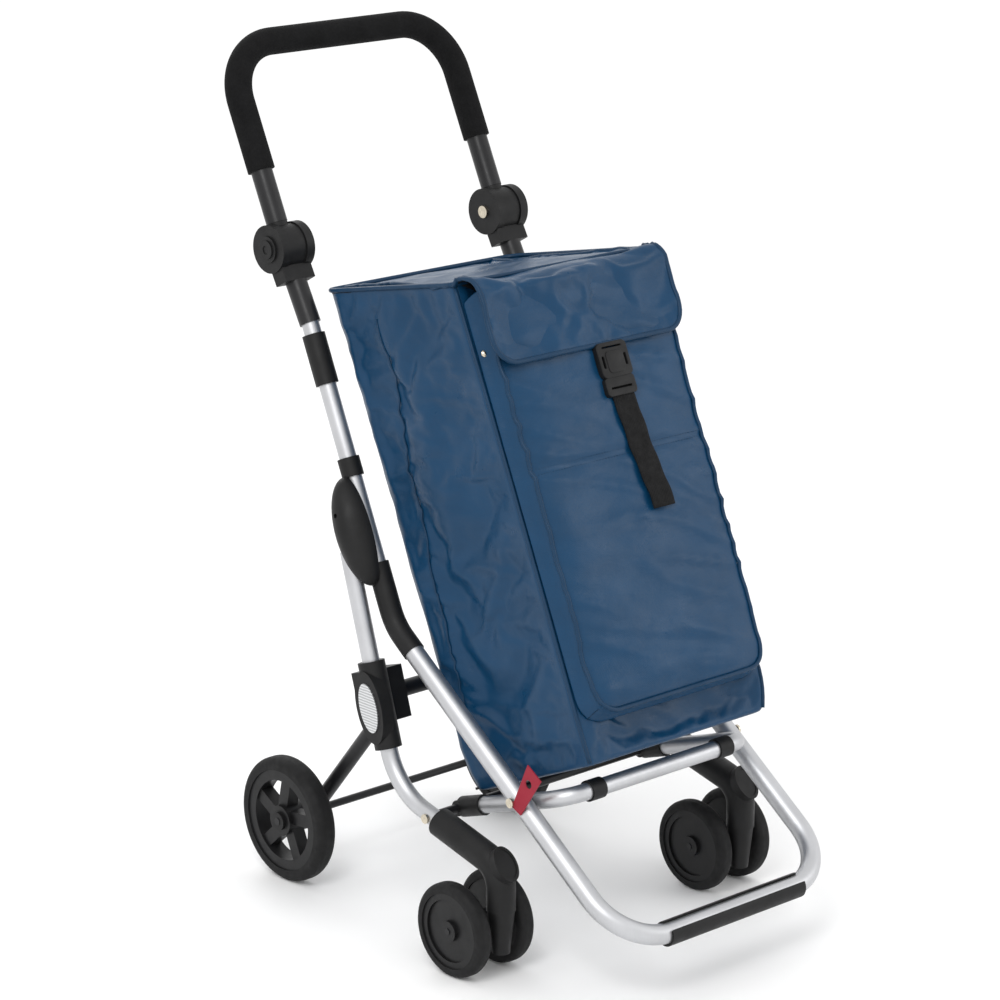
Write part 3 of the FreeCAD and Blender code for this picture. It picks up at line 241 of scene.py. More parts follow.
def woven(name, colour, threads=THREADS_PER_METRE, sheen=0.06, rough=0.34, crease=0.3, weave=0.2):
    """Cloth in the bag's own axes: two thread directions, small creases with painted shade in their hollows, and a
    soft sheen.
    """
    nodes = Nodes(name)
    turned = nodes.add("ShaderNodeMapping", {
        "Vector": nodes.coordinates, "Rotation": (FRAME_LEAN, 0, 0)}).outputs[0]
    axes = nodes.add("ShaderNodeSeparateXYZ", {"Vector": turned})
    sideways = nodes.maths("ADD", axes.outputs["X"], axes.outputs["Y"])
    warp = nodes.maths("SINE", nodes.maths("MULTIPLY", sideways, threads))
    weft = nodes.maths("SINE", nodes.maths("MULTIPLY", axes.outputs["Z"], threads))
    cloth = nodes.maths("MULTIPLY", warp, weft)
    creases = nodes.noise(16, 7, 0.6, (0.8, 0.8, 1.9))
    cloudy = nodes.noise(5, 5)
    # base colour: painted shade, darker where the crease bump is low, mixed with random tone from the cloudy noise
    crease_shade_and_tone = nodes.maths("ADD", nodes.maths("MULTIPLY", creases, 0.55), nodes.maths("MULTIPLY", cloudy, 0.45))
    nodes.set(Base_Color=nodes.colours(crease_shade_and_tone, (0.36, shade(colour, 0.9)), (0.5, colour),
                                       (0.64, shade(colour, 1.1))))
    soft = nodes.bump(creases, crease, 0.006)
    fine = nodes.bump(nodes.noise(75, 6, 0.6), 0.22, 0.0016, soft)
    nodes.set(Normal=nodes.bump(cloth, weave, 0.0002, fine))
    nodes.set(Roughness=nodes.spread(nodes.noise(30, 5), rough - 0.08, rough + 0.1))
    nodes.set(Sheen_Weight=sheen, Sheen_Roughness=0.4, Sheen_Tint=(*shade(colour, 3.2), 1))
    nodes.set(Specular_IOR_Level=0.26)
    return nodes.material


def ribbed(name, colour):
    """Webbing: ribs along its length and fine cross threads."""
    nodes = Nodes(name)
    turned = nodes.add("ShaderNodeMapping", {
        "Vector": nodes.coordinates, "Rotation": (FRAME_LEAN, 0, 0)}).outputs[0]
    axes = nodes.add("ShaderNodeSeparateXYZ", {"Vector": turned})
    ribs = nodes.maths("SINE", nodes.maths("MULTIPLY", axes.outputs["X"], 2400.0))
    cross = nodes.maths("SINE", nodes.maths("MULTIPLY", axes.outputs["Z"], 3600.0))
    height = nodes.maths("ADD", ribs, nodes.maths("MULTIPLY", cross, 0.5))
    cloudy = nodes.noise(90, 5)
    nodes.set(Base_Color=nodes.colours(cloudy, (0.3, shade(colour, 0.7)), (0.7, shade(colour, 1.5))))
    nodes.set(Roughness=nodes.spread(nodes.noise(200), 0.65, 0.85), Specular_IOR_Level=0.15)
    nodes.set(Normal=nodes.bump(height, 0.4, 0.0004))
    return nodes.material


BLUE = (0.0025, 0.036, 0.090)
BLACK = (0.0075, 0.0075, 0.0078)
SILVER = (0.55, 0.555, 0.57)

materials = {
    "black_tube": powder_coat("black_tube", (0.011, 0.011, 0.012)),
    "foam": foam("foam", (0.005, 0.005, 0.0053)),
    "black_plastic": moulded_plastic("black_plastic", BLACK),
    "satin_aluminium": anodised("satin_aluminium", SILVER, (1, 1, 0.05)),
    "tyre": rubber("tyre", (0.006, 0.006, 0.0063)),
    "hub_plastic": moulded_plastic("hub_plastic", (0.008, 0.008, 0.0085), 0.4, 0.15),
    "plated_steel": plated("plated_steel", (0.62, 0.56, 0.45)),
    "black_steel": powder_coat("black_steel", (0.009, 0.009, 0.010)),
    "badge": badge_metal("badge", (0.7, 0.71, 0.72)),
    "tag_red": woven("tag_red", (0.27, 0.014, 0.030), 2000.0, 0.05, 0.6, 0.1, 0.4),
    "bag_cloth": woven("bag_cloth", BLUE),
    "board": moulded_plastic("board", (0.01, 0.01, 0.01)),
    "webbing": ribbed("webbing", (0.006, 0.006, 0.0063)),
}
lining = woven("lining", (0.006, 0.006, 0.007), THREADS_PER_METRE, 0.02, 0.7, 0.2)
piping_cloth = woven("piping_cloth", shade(BLUE, 0.75), THREADS_PER_METRE, 0.05, 0.45, 0.1, 0.3)

slot_of = {entry["node"]: entry["material_slot"] for entry in frame["record"]["subparts"]}
for node_name, node in frame["nodes"].items():
    node.data.materials.clear()
    node.data.materials.append(materials[slot_of[node_name]])


# ------------------------------------------------------------------ mesh helpers
def mesh_object(name, vertices, faces, *surfaces):
    mesh = bpy.data.meshes.new(name)
    mesh.from_pydata([tuple(vertex) for vertex in vertices], [], faces)
    mesh.validate()
    obj = bpy.data.objects.new(name, mesh)
    bpy.context.scene.collection.objects.link(obj)
    for surface in surfaces:
        mesh.materials.append(surface)
    mesh.polygons.foreach_set("use_smooth", [True] * len(mesh.polygons))
    return obj


def bmesh_object(name, work, surface, smooth=False):
    """An object from a bmesh, which it frees."""
    mesh = bpy.data.meshes.new(name)
    work.to_mesh(mesh)
    work.free()
    mesh.materials.append(surface)
    if smooth:
        mesh.polygons.foreach_set("use_smooth", [True] * len(mesh.polygons))
    obj = bpy.data.objects.new(name, mesh)
    bpy.context.scene.collection.objects.link(obj)
    return obj


def finish_piece(obj, body, slot, *replaced):
    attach(obj, body)
    if replaced:
        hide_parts(*replaced)
    return obj


def thicken(obj, thickness, offset):
    """Gives a cloth its thickness, with the lining on its inner side, and smooths it."""
    solid = obj.modifiers.new("Thickness", "SOLIDIFY")
    solid.thickness = thickness
    solid.offset = offset
    solid.material_offset = 1
    solid.material_offset_rim = 0
    smooth = obj.modifiers.new("Smooth", "SUBSURF")
    smooth.levels = 1
    smooth.render_levels = 1


def face_outwards(obj):
    work = bmesh.new()
    work.from_mesh(obj.data)
    bmesh.ops.recalc_face_normals(work, faces=work.faces)
    work.to_mesh(obj.data)
    work.free()


def crumple(obj, hold, spare, frames, limit, gravity=0.25):
    """Simulates the piece as cloth cut a little too large, so that it wrinkles between its
    held lines.  hold(x, a, w) is 1 where a seam keeps it, and no point moves further than limit."""
    scene = bpy.context.scene
    start = [vertex.co.copy() for vertex in obj.data.vertices]
    group = obj.vertex_groups.new(name="held")
    for index, place in enumerate(start):
        weight = hold(*to_bag(place))
        if weight > 0:
            group.add([index], weight, "REPLACE")
    cloth = obj.modifiers.new("Cloth", "CLOTH")
    settings = cloth.settings
    settings.quality = 5
    settings.mass = 0.15
    settings.tension_stiffness = 22
    settings.compression_stiffness = 12
    settings.shear_stiffness = 5
    settings.bending_stiffness = 0.4
    settings.air_damping = 2
    settings.vertex_group_mass = "held"
    settings.pin_stiffness = 1.0
    settings.shrink_min = -spare
    settings.effector_weights.gravity = gravity
    cloth.collision_settings.use_collision = False
    cloth.point_cache.frame_start = 1
    cloth.point_cache.frame_end = frames
    for number in range(1, frames + 1):
        scene.frame_set(number)
    depsgraph = bpy.context.evaluated_depsgraph_get()
    moved = obj.evaluated_get(depsgraph).data
    places = []
    for vertex, old in zip(moved.vertices, start):
        shift = vertex.co - old
        if shift.length > limit:
            shift *= limit / shift.length
        places.append(old + shift)
    obj.modifiers.clear()
    obj.vertex_groups.clear()
    for vertex, place in zip(obj.data.vertices, places):
        vertex.co = place
    obj.data.update()
    scene.frame_set(1)


def tube(name, points, radius, surface, closed=False, sides=10):
    """Round tube through the points."""
    count = len(points)
    vertices = []
    faces = []
    for index, place in enumerate(points):
        before = points[(index - 1) % count] if closed or index else place
        after = points[(index + 1) % count] if closed or index < count - 1 else place
        along = (after - before).normalized()
        side = along.cross(FORWARD)
        if side.length < 0.2:
            side = along.cross(ACROSS)
        side.normalize()
        other = along.cross(side).normalized()
        for step in range(sides):
            angle = 2 * math.pi * step / sides
            vertices.append(place + (side * math.cos(angle) + other * math.sin(angle)) * radius)
    rings = count if closed else count - 1
    for ring in range(rings):
        for step in range(sides):
            here = ring * sides + step
            there = ring * sides + (step + 1) % sides
            next_ring = ((ring + 1) % count) * sides
            faces.append((here, there, next_ring + (step + 1) % sides, next_ring + step))
    if not closed:
        faces.append(tuple(range(sides))[::-1])
        faces.append(tuple(range((count - 1) * sides, count * sides)))
    obj = mesh_object(name, vertices, faces, surface)
    face_outwards(obj)
    return obj


def spaced(start, end, step):
    """Points from start to end about a step apart, both ends included."""
    count = max(1, round((end - start).length / step))
    return [start.lerp(end, index / count) for index in range(count + 1)]


def wander(place, size, height, seed):
    """Smooth repeatable noise of about this height, over features of this size."""
    offset = Vector((seed * 3.7, seed * 1.3, seed * 7.1))
    return noise.noise(place / size + offset) * height


def folds(across, along, size, height, seed):
    """Sharp creases running across a panel, in patches; the two coordinates lie in the panel."""
    where = Vector((across / (5 * size), (along + 0.3 * across) / size, seed * 4.1))
    patch = 0.5 + 0.5 * noise.noise(Vector((across / 0.09, along / 0.11, seed * 2.3 + 9)))
    ridge = 1 - min(1.0, 2.2 * abs(noise.noise(where)))
    return height * (ridge ** 2 - 0.35) * patch


def laid_on(base, places, outward, lift):
    """The places moved on to the piece's own surface, a little proud of it."""
    mesh = base.data
    tree = BVHTree.FromPolygons([vertex.co for vertex in mesh.vertices],
                                [polygon.vertices for polygon in mesh.polygons])
    return [tree.find_nearest(place)[0] + outward * lift for place in places]


# ------------------------------------------------------------------ the bag
CLOTH_STEP = 0.0065
BACK_CORNER = 0.022
FRONT_CORNER = 0.008
CORNER_STEPS = 5
# the cloth simulation leaves these alone: bands along the edges, and the seam by half
EDGE_BAND = 0.022
MOUTH_MARGIN = 0.02
SEAM_HOLD = 0.5
SIDE_SEAM_TOP = 0.076
SIDE_SEAM_FOOT = 0.030
FLOOR_RINGS = 12


def section_points():
    """The bag's outline seen along its length, from the middle of the back and round."""
    outline = []
    corners = [(-BAG_HALF, 0.0), (-BAG_HALF, BAG_DEEP), (BAG_HALF, BAG_DEEP), (BAG_HALF, 0.0)]
    middle_back = Vector((0, 0, 0))
    previous = middle_back
    for x, w in corners:
        sharp = FRONT_CORNER if w > 0 else BACK_CORNER
        outward_x = math.copysign(1, x)
        outward_w = 1 if w > 0 else -1
        centre = Vector((x - outward_x * sharp, w - outward_w * sharp, 0))
        ends = [Vector((centre.x, centre.y + outward_w * sharp, 0)),
                Vector((centre.x + outward_x * sharp, centre.y, 0))]
        first, last = ends if (previous - ends[0]).length < (previous - ends[1]).length else ends[::-1]
        outline += spaced(previous, first, CLOTH_STEP)[:-1]
        for step in range(CORNER_STEPS):
            angle = math.pi / 2 * step / CORNER_STEPS
            outline.append(centre + (first - centre) * math.cos(angle) + (last - centre) * math.sin(angle))
        previous = last
    outline += spaced(previous, middle_back, CLOTH_STEP)[:-1]
    return [(place.x, place.y) for place in outline]


# how the bag departs from a box, in metres or as a share of its width
FOOT_TAPER = 0.05
FOOT_DEPTH_TAPER = 0.06
WAIST = 0.012
SIDE_HOLLOW = 0.006
CLOTH_INSET = 0.0025
# each ripple is its feature size, its height and its seed
BROAD_RIPPLE = (0.085, 0.0040, 1)
FINE_RIPPLE = (0.022, 0.0008, 2)
CREASES = (0.030, 0.0062, 3)
CALM_MARGIN = 0.05


def bag_shape(x, w, share):
    """Where the bag's cloth lies; share is 0 at the foot and 1 at the rim."""
    low = BAG_FOOT
    a = low + (rim_height(w) - low) * share
    sag = math.sin(math.pi * share) ** 0.8
    near_foot = max(0.0, 1 - share / 0.10)
    x *= 1 - FOOT_TAPER * near_foot ** 2 - WAIST * sag
    side_hollow = SIDE_HOLLOW * sag * (1 - abs(2 * w / BAG_DEEP - 1) ** 3)
    if abs(x) > BAG_HALF * 0.85:
        x -= math.copysign(side_hollow, x)
    w_inside = 0.5 * BAG_DEEP + (w - 0.5 * BAG_DEEP) * (1 - FOOT_DEPTH_TAPER * near_foot ** 2)
    place = bag_point(x, a, w_inside)
    outward = (ACROSS * x / BAG_HALF + FORWARD * (2 * w / BAG_DEEP - 1)).normalized()
    lively = min(1.0, share / 0.06) * min(1.0, (1 - share) / 0.05)
    ripple = wander(place, *BROAD_RIPPLE) + wander(place, *FINE_RIPPLE)
    ripple += folds(w + x, a, *CREASES)
    from_edge = min(w, BAG_DEEP - w, CALM_MARGIN)
    edge_calm = min(1.0, 0.25 + from_edge / CALM_MARGIN) if abs(x) > 0.14 else 1.0
    return place + outward * (ripple * lively * edge_calm - CLOTH_INSET)


COLLAR_ROWS = 6


def collar_shape(x, w, share):
    """The cloth past the rim: it turns in over the mouth, furthest at the sides towards the front."""
    rim = bag_shape(x, w, 1.0)
    forward_share = min(1.0, max(0.0, (w - 0.05) / 0.10))
    beside = min(1.0, max(0.0, (abs(x) / BAG_HALF - 0.80) / 0.15))
    reach = beside * (0.006 + 0.038 * forward_share)
    hem = (1 - beside) * 0.003 * (1 if w < 0.1 else -1)
    fall = 0.010 + 0.010 * forward_share * beside
    crumpled = wander(rim, 0.03, 0.006, 21) * share * beside
    inward = -ACROSS * math.copysign(reach, x) + FORWARD * hem
    return rim + inward * share + UP * (crumpled - fall * share ** 1.6)


def make_bag():
    outline = section_points()
    around = len(outline)
    levels = round(-BAG_FOOT / CLOTH_STEP)
    vertices = []
    faces = []
    for level in range(levels + 1):
        for x, w in outline:
            vertices.append(bag_shape(x, w, level / levels))
    for level in range(1, COLLAR_ROWS + 1):
        for x, w in outline:
            vertices.append(collar_shape(x, w, level / COLLAR_ROWS))
    for level in range(levels + COLLAR_ROWS):
        for step in range(around):
            here = level * around + step
            there = level * around + (step + 1) % around
            faces.append((here, there, there + around, here + around))
    middle = bag_point(0, BAG_FOOT, BAG_DEEP / 2)
    ring_start = 0
    for ring in range(1, FLOOR_RINGS):
        share = 1 - ring / FLOOR_RINGS
        start = len(vertices)
        for step in range(around):
            edge = vertices[step]
            vertices.append(middle + (edge - middle) * share)
        for step in range(around):
            here = ring_start + step
            there = ring_start + (step + 1) % around
            faces.append((here, here - ring_start + start, there - ring_start + start, there))
        ring_start = start
    centre = len(vertices)
    vertices.append(middle)
    for step in range(around):
        faces.append((ring_start + step, centre, ring_start + (step + 1) % around))
    bag = mesh_object("bag_shell", vertices, faces, materials["bag_cloth"], lining)

    def held(x, a, w):
        if a > rim_height(w) - 0.012 or a < BAG_FOOT + 0.010:
            return 1.0
        inside_mouth = abs(x) < BAG_HALF - 0.025 and MOUTH_MARGIN < w < BAG_DEEP - MOUTH_MARGIN
        if inside_mouth and a > rim_height(w) - 0.05:
            return 1.0
        near_front_edge = abs(abs(x) - BAG_HALF) < 0.016 and w > BAG_DEEP - EDGE_BAND
        near_back_edge = abs(x) > BAG_HALF - 0.030 and w < EDGE_BAND
        seam = SIDE_SEAM_FOOT + (SIDE_SEAM_TOP - SIDE_SEAM_FOOT) * (1 + a / 0.65)
        on_seam = abs(x) > BAG_HALF * 0.85 and abs(w - seam) < CLOTH_STEP * 0.6
        if near_front_edge or near_back_edge:
            return 1.0
        return SEAM_HOLD if on_seam else 0.0

    crumple(bag, held, spare=0.045, frames=26, limit=0.012)
    thicken(bag, 0.0022, -1)
    return finish_piece(bag, "chassis", "bag_cloth", "bag_body")


bag = make_bag()


PIPING_RADIUS = 0.0026
RIM_TAPE_RADIUS = 0.003
FLAP_PIPING_RADIUS = 0.0032
SIDE_SEAM_RADIUS = 0.0013
PIPING_INSET = 0.003
PIPING_LIFT = 0.0012
PIPING_END = 0.004


def edge_run(x, w, low, high, lift):
    """Points up one of the bag's front edges."""
    run = []
    for place in spaced(Vector((0, 0, low)), Vector((0, 0, high)), 0.012):
        share = (place.z - BAG_FOOT) / (rim_height(w) - BAG_FOOT)
        shaped = bag_shape(x, w, share)
        outward = (ACROSS * math.copysign(1, x) + FORWARD).normalized()
        run.append(shaped + outward * (lift + wander(shaped, 0.05, 0.0012, 5)))
    return run


for name, side in (("left", -1), ("right", 1)):
    run = edge_run(side * (BAG_HALF - PIPING_INSET), BAG_DEEP - PIPING_INSET,
                   BAG_FOOT + PIPING_END, rim_height(BAG_DEEP) - PIPING_END, PIPING_LIFT)
    piping = tube("bag_piping_" + name, run, PIPING_RADIUS, piping_cloth)
    finish_piece(piping, "chassis", "bag_cloth")

# a stitched seam runs down each side panel
SIDE_SEAM = ((-0.058, 0.090), (-0.124, 0.088), (-0.243, 0.063), (-0.382, 0.051), (-0.560, 0.046))
for name, side in (("left", -1), ("right", 1)):
    run = []
    for (high, back), (low, front) in zip(SIDE_SEAM, SIDE_SEAM[1:]):
        run += spaced(Vector((back, high, 0)), Vector((front, low, 0)), 0.009)[:-1]
    places = [bag_point(side * BAG_HALF, place.y, place.x) for place in run]
    laid = laid_on(bag, places, ACROSS * side, 0.0006)
    seam = tube("side_seam_" + name, laid, SIDE_SEAM_RADIUS, piping_cloth)
    finish_piece(seam, "chassis", "bag_cloth")

# the rim is bound with a folded tape
rim_points = []
for x, w in section_points():
    rim_points.append(bag_shape(x, w, 1.0) + UP * 0.0005)
rim_binding = tube("bag_rim_binding", rim_points, RIM_TAPE_RADIUS, piping_cloth, closed=True)
finish_piece(rim_binding, "chassis", "bag_cloth")


# ------------------------------------------------------------------ front compartment
SEAM_HEIGHT = -0.294
SEAM_WIDTH = 0.005
FRONT_STANDS = 0.024
FRONT_SWELLS = 0.009
PANEL_CORNER = 0.032
GUSSET_ROWS = 4
FRONT_BROAD_RIPPLE = (0.09, 0.0045, 7)
FRONT_FINE_RIPPLE = (0.024, 0.0007, 8)
FRONT_CREASES = (0.034, 0.0075, 9)
STITCH_ROW = 0.0035
STITCH_PITCH = 0.0045


def front_bulge(x, a):
    """How far the compartment's face stands in front of the bag, 0 at its edge seams."""
    across = 1 - abs(x / FRONT_HALF) ** 5
    upper = min(1.0, max(0.0, (FRONT_TOP - a) / 0.05))
    lower = min(1.0, max(0.0, (a - FRONT_FOOT) / 0.03))
    return max(0.0, across) * (0.6 + 0.4 * upper) * lower ** 0.5


def front_face(x, a):
    lift = BAG_DEEP + FRONT_STANDS + FRONT_SWELLS * front_bulge(x, a)
    seam = math.exp(-((a - SEAM_HEIGHT) / SEAM_WIDTH) ** 2)
    place = bag_point(x, a, lift)
    ripple = wander(place, *FRONT_BROAD_RIPPLE) + wander(place, *FRONT_FINE_RIPPLE)
    ripple += folds(x, a, *FRONT_CREASES)
    return place + FORWARD * (ripple - 0.0035 * seam)


def rounded_corner(x, a, foot, radius):
    """Draws the lower corners of a panel in to a radius."""
    inner_x = FRONT_HALF - radius
    inner_a = foot + radius
    if abs(x) > inner_x and a < inner_a:
        offset = Vector((abs(x) - inner_x, inner_a - a))
        reach = max(offset.x, offset.y)
        if offset.length > 1e-6:
            offset *= reach / offset.length
        return math.copysign(inner_x + offset.x, x), inner_a - offset.y
    return x, a


def make_front():
    columns = round(2 * FRONT_HALF / CLOTH_STEP)
    rows = round((FRONT_TOP - FRONT_FOOT) / CLOTH_STEP)
    gusset = GUSSET_ROWS
    vertices = []
    faces = []
    index = {}
    for row in range(-gusset, rows + 1):
        for column in range(-gusset, columns + gusset + 1):
            flat_x = FRONT_HALF * (2 * min(max(column, 0), columns) / columns - 1)
            flat_a = FRONT_FOOT + (FRONT_TOP - FRONT_FOOT) * max(row, 0) / rows
            x, a = rounded_corner(flat_x, flat_a, FRONT_FOOT, PANEL_CORNER)
            back = max(-row, -column, column - columns, 0) / gusset
            place = front_face(x, a)
            if back > 0:
                seat = bag_point(x * (1 + 0.075 * back), a - 0.010 * back, BAG_DEEP + 0.001)
                place = place.lerp(seat, back)
            index[row, column] = len(vertices)
            vertices.append(place)
    for row in range(-gusset, rows):
        for column in range(-gusset, columns + gusset):
            faces.append((index[row, column], index[row, column + 1],
                          index[row + 1, column + 1], index[row + 1, column]))
    front = mesh_object("front_compartment", vertices, faces, materials["bag_cloth"], lining)

    def held(x, a, w):
        at_edge = abs(x) > FRONT_HALF - 0.004 or a < FRONT_FOOT + 0.004 or a > FRONT_TOP - 0.004
        if at_edge or w < BAG_DEEP + 0.015:
            return 1.0
        return 0.9 if abs(a - SEAM_HEIGHT) < SEAM_WIDTH else 0.0

    crumple(front, held, spare=0.060, frames=26, limit=0.012, gravity=0.15)
    thicken(front, 0.002, -1)
    return finish_piece(front, "chassis", "bag_cloth", "front_pocket")


make_front()

# piping round the compartment's face
loop = [Vector((-FRONT_HALF, FRONT_TOP, 0)), Vector((-FRONT_HALF, FRONT_FOOT, 0)),
        Vector((FRONT_HALF, FRONT_FOOT, 0)), Vector((FRONT_HALF, FRONT_TOP, 0))]
piping_points = []
for start, end in zip(loop, loop[1:]):
    for place in spaced(start, end, 0.008)[:-1]:
        x, a = rounded_corner(place.x, place.y, FRONT_FOOT, PANEL_CORNER)
        piping_points.append(front_face(x, a) + FORWARD * 0.0006)
piping_points.append(front_face(FRONT_HALF, FRONT_TOP))
finish_piece(tube("front_piping", piping_points, PIPING_RADIUS, piping_cloth), "chassis", "bag_cloth")

# a double row of stitching holds the seam across the compartment
stitch_end = Vector((FRONT_HALF - 0.008, 0, 0))
for row, offset in enumerate((-STITCH_ROW, STITCH_ROW)):
    stitches = bmesh.new()
    for place in spaced(-stitch_end, stitch_end, STITCH_PITCH):
        middle = front_face(place.x, SEAM_HEIGHT + offset) + FORWARD * 0.0004
        matrix = Matrix.Translation(middle) @ Matrix.Diagonal((0.0014, 0.0005, 0.0004, 1))
        bmesh.ops.create_icosphere(stitches, subdivisions=1, radius=1.0, matrix=matrix)
    stitching = bmesh_object("front_stitching_%d" % row, stitches, piping_cloth)
    finish_piece(stitching, "chassis", "bag_cloth")


# ------------------------------------------------------------------ flap
FOLD_RADIUS = 0.024
FOLD_STEPS = 8
FLAP_SKIN = 0.0035
FLAP_CLEAR = 0.0035
FLAP_LIFT = 0.0055
FLAP_CORNER = 0.030
FLAP_BROAD_RIPPLE = (0.08, 0.0045, 11)
FLAP_FINE_RIPPLE = (0.026, 0.0008, 12)
FLAP_CREASES = (0.045, 0.0030, 13)
# distances along the flap from its rear seam
FLAP_NARROW_END = 0.205
FLAP_NARROW_LENGTH = 0.07
FLAP_DROOP_END = 0.25
FLAP_FOLD_START = 0.27


def flap_profile():
    """w and a of the flap from its hinge at the back, over the fold and down the front."""
    front = FRONT_DEEP + FLAP_CLEAR
    run = []
    start = Vector((0.0, FLAP_LIFT))
    corner = Vector((front, FLAP_LIFT - front * math.tan(RIM_FALL)))
    slope = (corner - start).normalized()
    down = Vector((0.0, -1.0))
    half = slope.angle(down) / 2
    tangent = FOLD_RADIUS * math.tan(half)
    arc_start = corner - slope * tangent
    arc_end = corner + down * tangent
    inward = Vector((slope.y, -slope.x))
    centre = arc_start + inward * FOLD_RADIUS
    for step in range(int((arc_start - start).length / CLOTH_STEP) + 1):
        run.append(start + slope * CLOTH_STEP * step)
    first = arc_start - centre
    for step in range(1, FOLD_STEPS + 1):
        angle = -2 * half * step / FOLD_STEPS
        turned = Vector((first.x * math.cos(angle) - first.y * math.sin(angle),
                         first.x * math.sin(angle) + first.y * math.cos(angle)))
        run.append(centre + turned)
    foot = Vector((front, FLAP_LOW))
    count = round((arc_end - foot).length / CLOTH_STEP)
    for step in range(1, count + 1):
        run.append(arc_end.lerp(foot, step / count))
    return run


def make_flap():
    profile = flap_profile()
    lengths = [0.0]
    for before, after in zip(profile, profile[1:]):
        lengths.append(lengths[-1] + (after - before).length)
    total = lengths[-1]
    columns = round(2 * FLAP_HALF / CLOTH_STEP)
    radius = FLAP_CORNER
    vertices = []
    faces = []
    border = {}
    for row, place in enumerate(profile):
        for column in range(columns + 1):
            x = FLAP_HALF * (2 * column / columns - 1)
            left = total - lengths[row]
            along = lengths[row]
            if abs(x) > FLAP_HALF - radius and left < radius:
                offset = Vector((abs(x) - FLAP_HALF + radius, radius - left))
                if offset.length > 1e-6:
                    offset *= max(offset.x, offset.y) / offset.length
                x = math.copysign(FLAP_HALF - radius + offset.x, x)
                along = total - radius + offset.y
            spot = along_profile(profile, lengths, along)
            crown = 0.004 * (1 - (x / FLAP_HALF) ** 2) * math.sin(math.pi * min(1, along / (0.75 * total)))
            droop = 0.006 * max(0.0, abs(x) / FLAP_HALF - 0.75) / 0.25
            behind = min(1.0, max(0.0, (FLAP_NARROW_END - along) / FLAP_NARROW_LENGTH))
            narrow = 1 - 0.20 * behind ** 0.8
            drop = droop if along < FLAP_DROOP_END else 0
            here = bag_point(x * narrow, spot.y + crown - drop, spot.x)
            ripple = wander(here, *FLAP_BROAD_RIPPLE) + wander(here, *FLAP_FINE_RIPPLE)
            ripple += folds(here.x, along, *FLAP_CREASES)
            normal = UP if along < FLAP_FOLD_START else FORWARD
            vertices.append(here + normal * (ripple * min(1.0, along / 0.04)))
            border[row, column] = len(vertices) - 1
    for row in range(len(profile) - 1):
        for column in range(columns):
            faces.append((border[row, column], border[row + 1, column],
                          border[row + 1, column + 1], border[row, column + 1]))
    flap = mesh_object("flap", vertices, faces, materials["bag_cloth"], lining)
    face_outwards(flap)
    edge = [border[row, 0] for row in range(len(profile))]
    edge += [border[len(profile) - 1, column] for column in range(1, columns)]
    edge += [border[row, columns] for row in range(len(profile) - 1, -1, -1)]

    border_places = [vertices[index] for index in edge]

    def held(x, a, w):
        here = bag_point(x, a, w)
        close = min((here - place).length for place in border_places)
        return 1.0 if close < 0.5 * CLOTH_STEP else 0.0

    crumple(flap, held, spare=0.035, frames=22, limit=0.008, gravity=0.1)
    rolled = [flap.data.vertices[index].co.copy() for index in edge]
    thicken(flap, FLAP_SKIN, 0)
    finish_piece(flap, "flap", "bag_cloth", "bag_flap")
    piping = tube("flap_piping", rolled, FLAP_PIPING_RADIUS, piping_cloth)
    finish_piece(piping, "flap", "bag_cloth")


def along_profile(profile, lengths, along):
    """The point of the profile this far from its start."""
    for index in range(1, len(profile)):
        if along <= lengths[index] or index == len(profile) - 1:
            share = (along - lengths[index - 1]) / (lengths[index] - lengths[index - 1])
            return profile[index - 1].lerp(profile[index], share)


make_flap()


# ------------------------------------------------------------------ buckle and webbing
def plate(name, outlines, thickness, centre, surface, bevel=0.0012):
    """Flat moulded piece: the first outline is its edge, the others are windows in it."""
    curve = bpy.data.curves.new(name, "CURVE")
    curve.dimensions = "2D"
    curve.fill_mode = "BOTH"
    curve.extrude = thickness / 2 - bevel
    curve.bevel_depth = bevel
    curve.bevel_resolution = 3
    for outline in outlines:
        spline = curve.splines.new("POLY")
        spline.points.add(len(outline) - 1)
        for spot, (x, y) in zip(spline.points, outline):
            spot.co = (x, y, 0, 1)
        spline.use_cyclic_u = True
    holder = bpy.data.objects.new(name + "_outline", curve)
    bpy.context.scene.collection.objects.link(holder)
    depsgraph = bpy.context.evaluated_depsgraph_get()
    mesh = bpy.data.meshes.new_from_object(holder.evaluated_get(depsgraph))
    bpy.data.objects.remove(holder)
    turn = Matrix((
        (ACROSS.x, UP.x, FORWARD.x, centre.x), (ACROSS.y, UP.y, FORWARD.y, centre.y),
        (ACROSS.z, UP.z, FORWARD.z, centre.z), (0, 0, 0, 1)))
    mesh.transform(turn)
    mesh.materials.clear()
    mesh.materials.append(surface)
    obj = bpy.data.objects.new(name, mesh)
    bpy.context.scene.collection.objects.link(obj)
    mesh.polygons.foreach_set("use_smooth", [True] * len(mesh.polygons))
    weld = obj.modifiers.new("Weld", "WELD")
    weld.merge_threshold = 0.00002
    flat = obj.modifiers.new("Edges", "EDGE_SPLIT")
    flat.split_angle = math.radians(50)
    return obj


def rounded_box(width, height, radius, x=0.0, y=0.0, steps=5):
    outline = []
    for quarter, (sign_x, sign_y) in enumerate(((1, 1), (-1, 1), (-1, -1), (1, -1))):
        for step in range(steps + 1):
            angle = math.pi / 2 * (quarter + step / steps)
            outline.append((x + sign_x * (width / 2 - radius) + radius * math.cos(angle),
                            y + sign_y * (height / 2 - radius) + radius * math.sin(angle)))
    return outline


BUCKLE_HALF = 0.0235
SOCKET_TOP = FLAP_LOW - 0.0004
SOCKET_LONG = 0.0415
PLUG_LONG = 0.0215
buckle_face = FRONT_DEEP + 0.0003


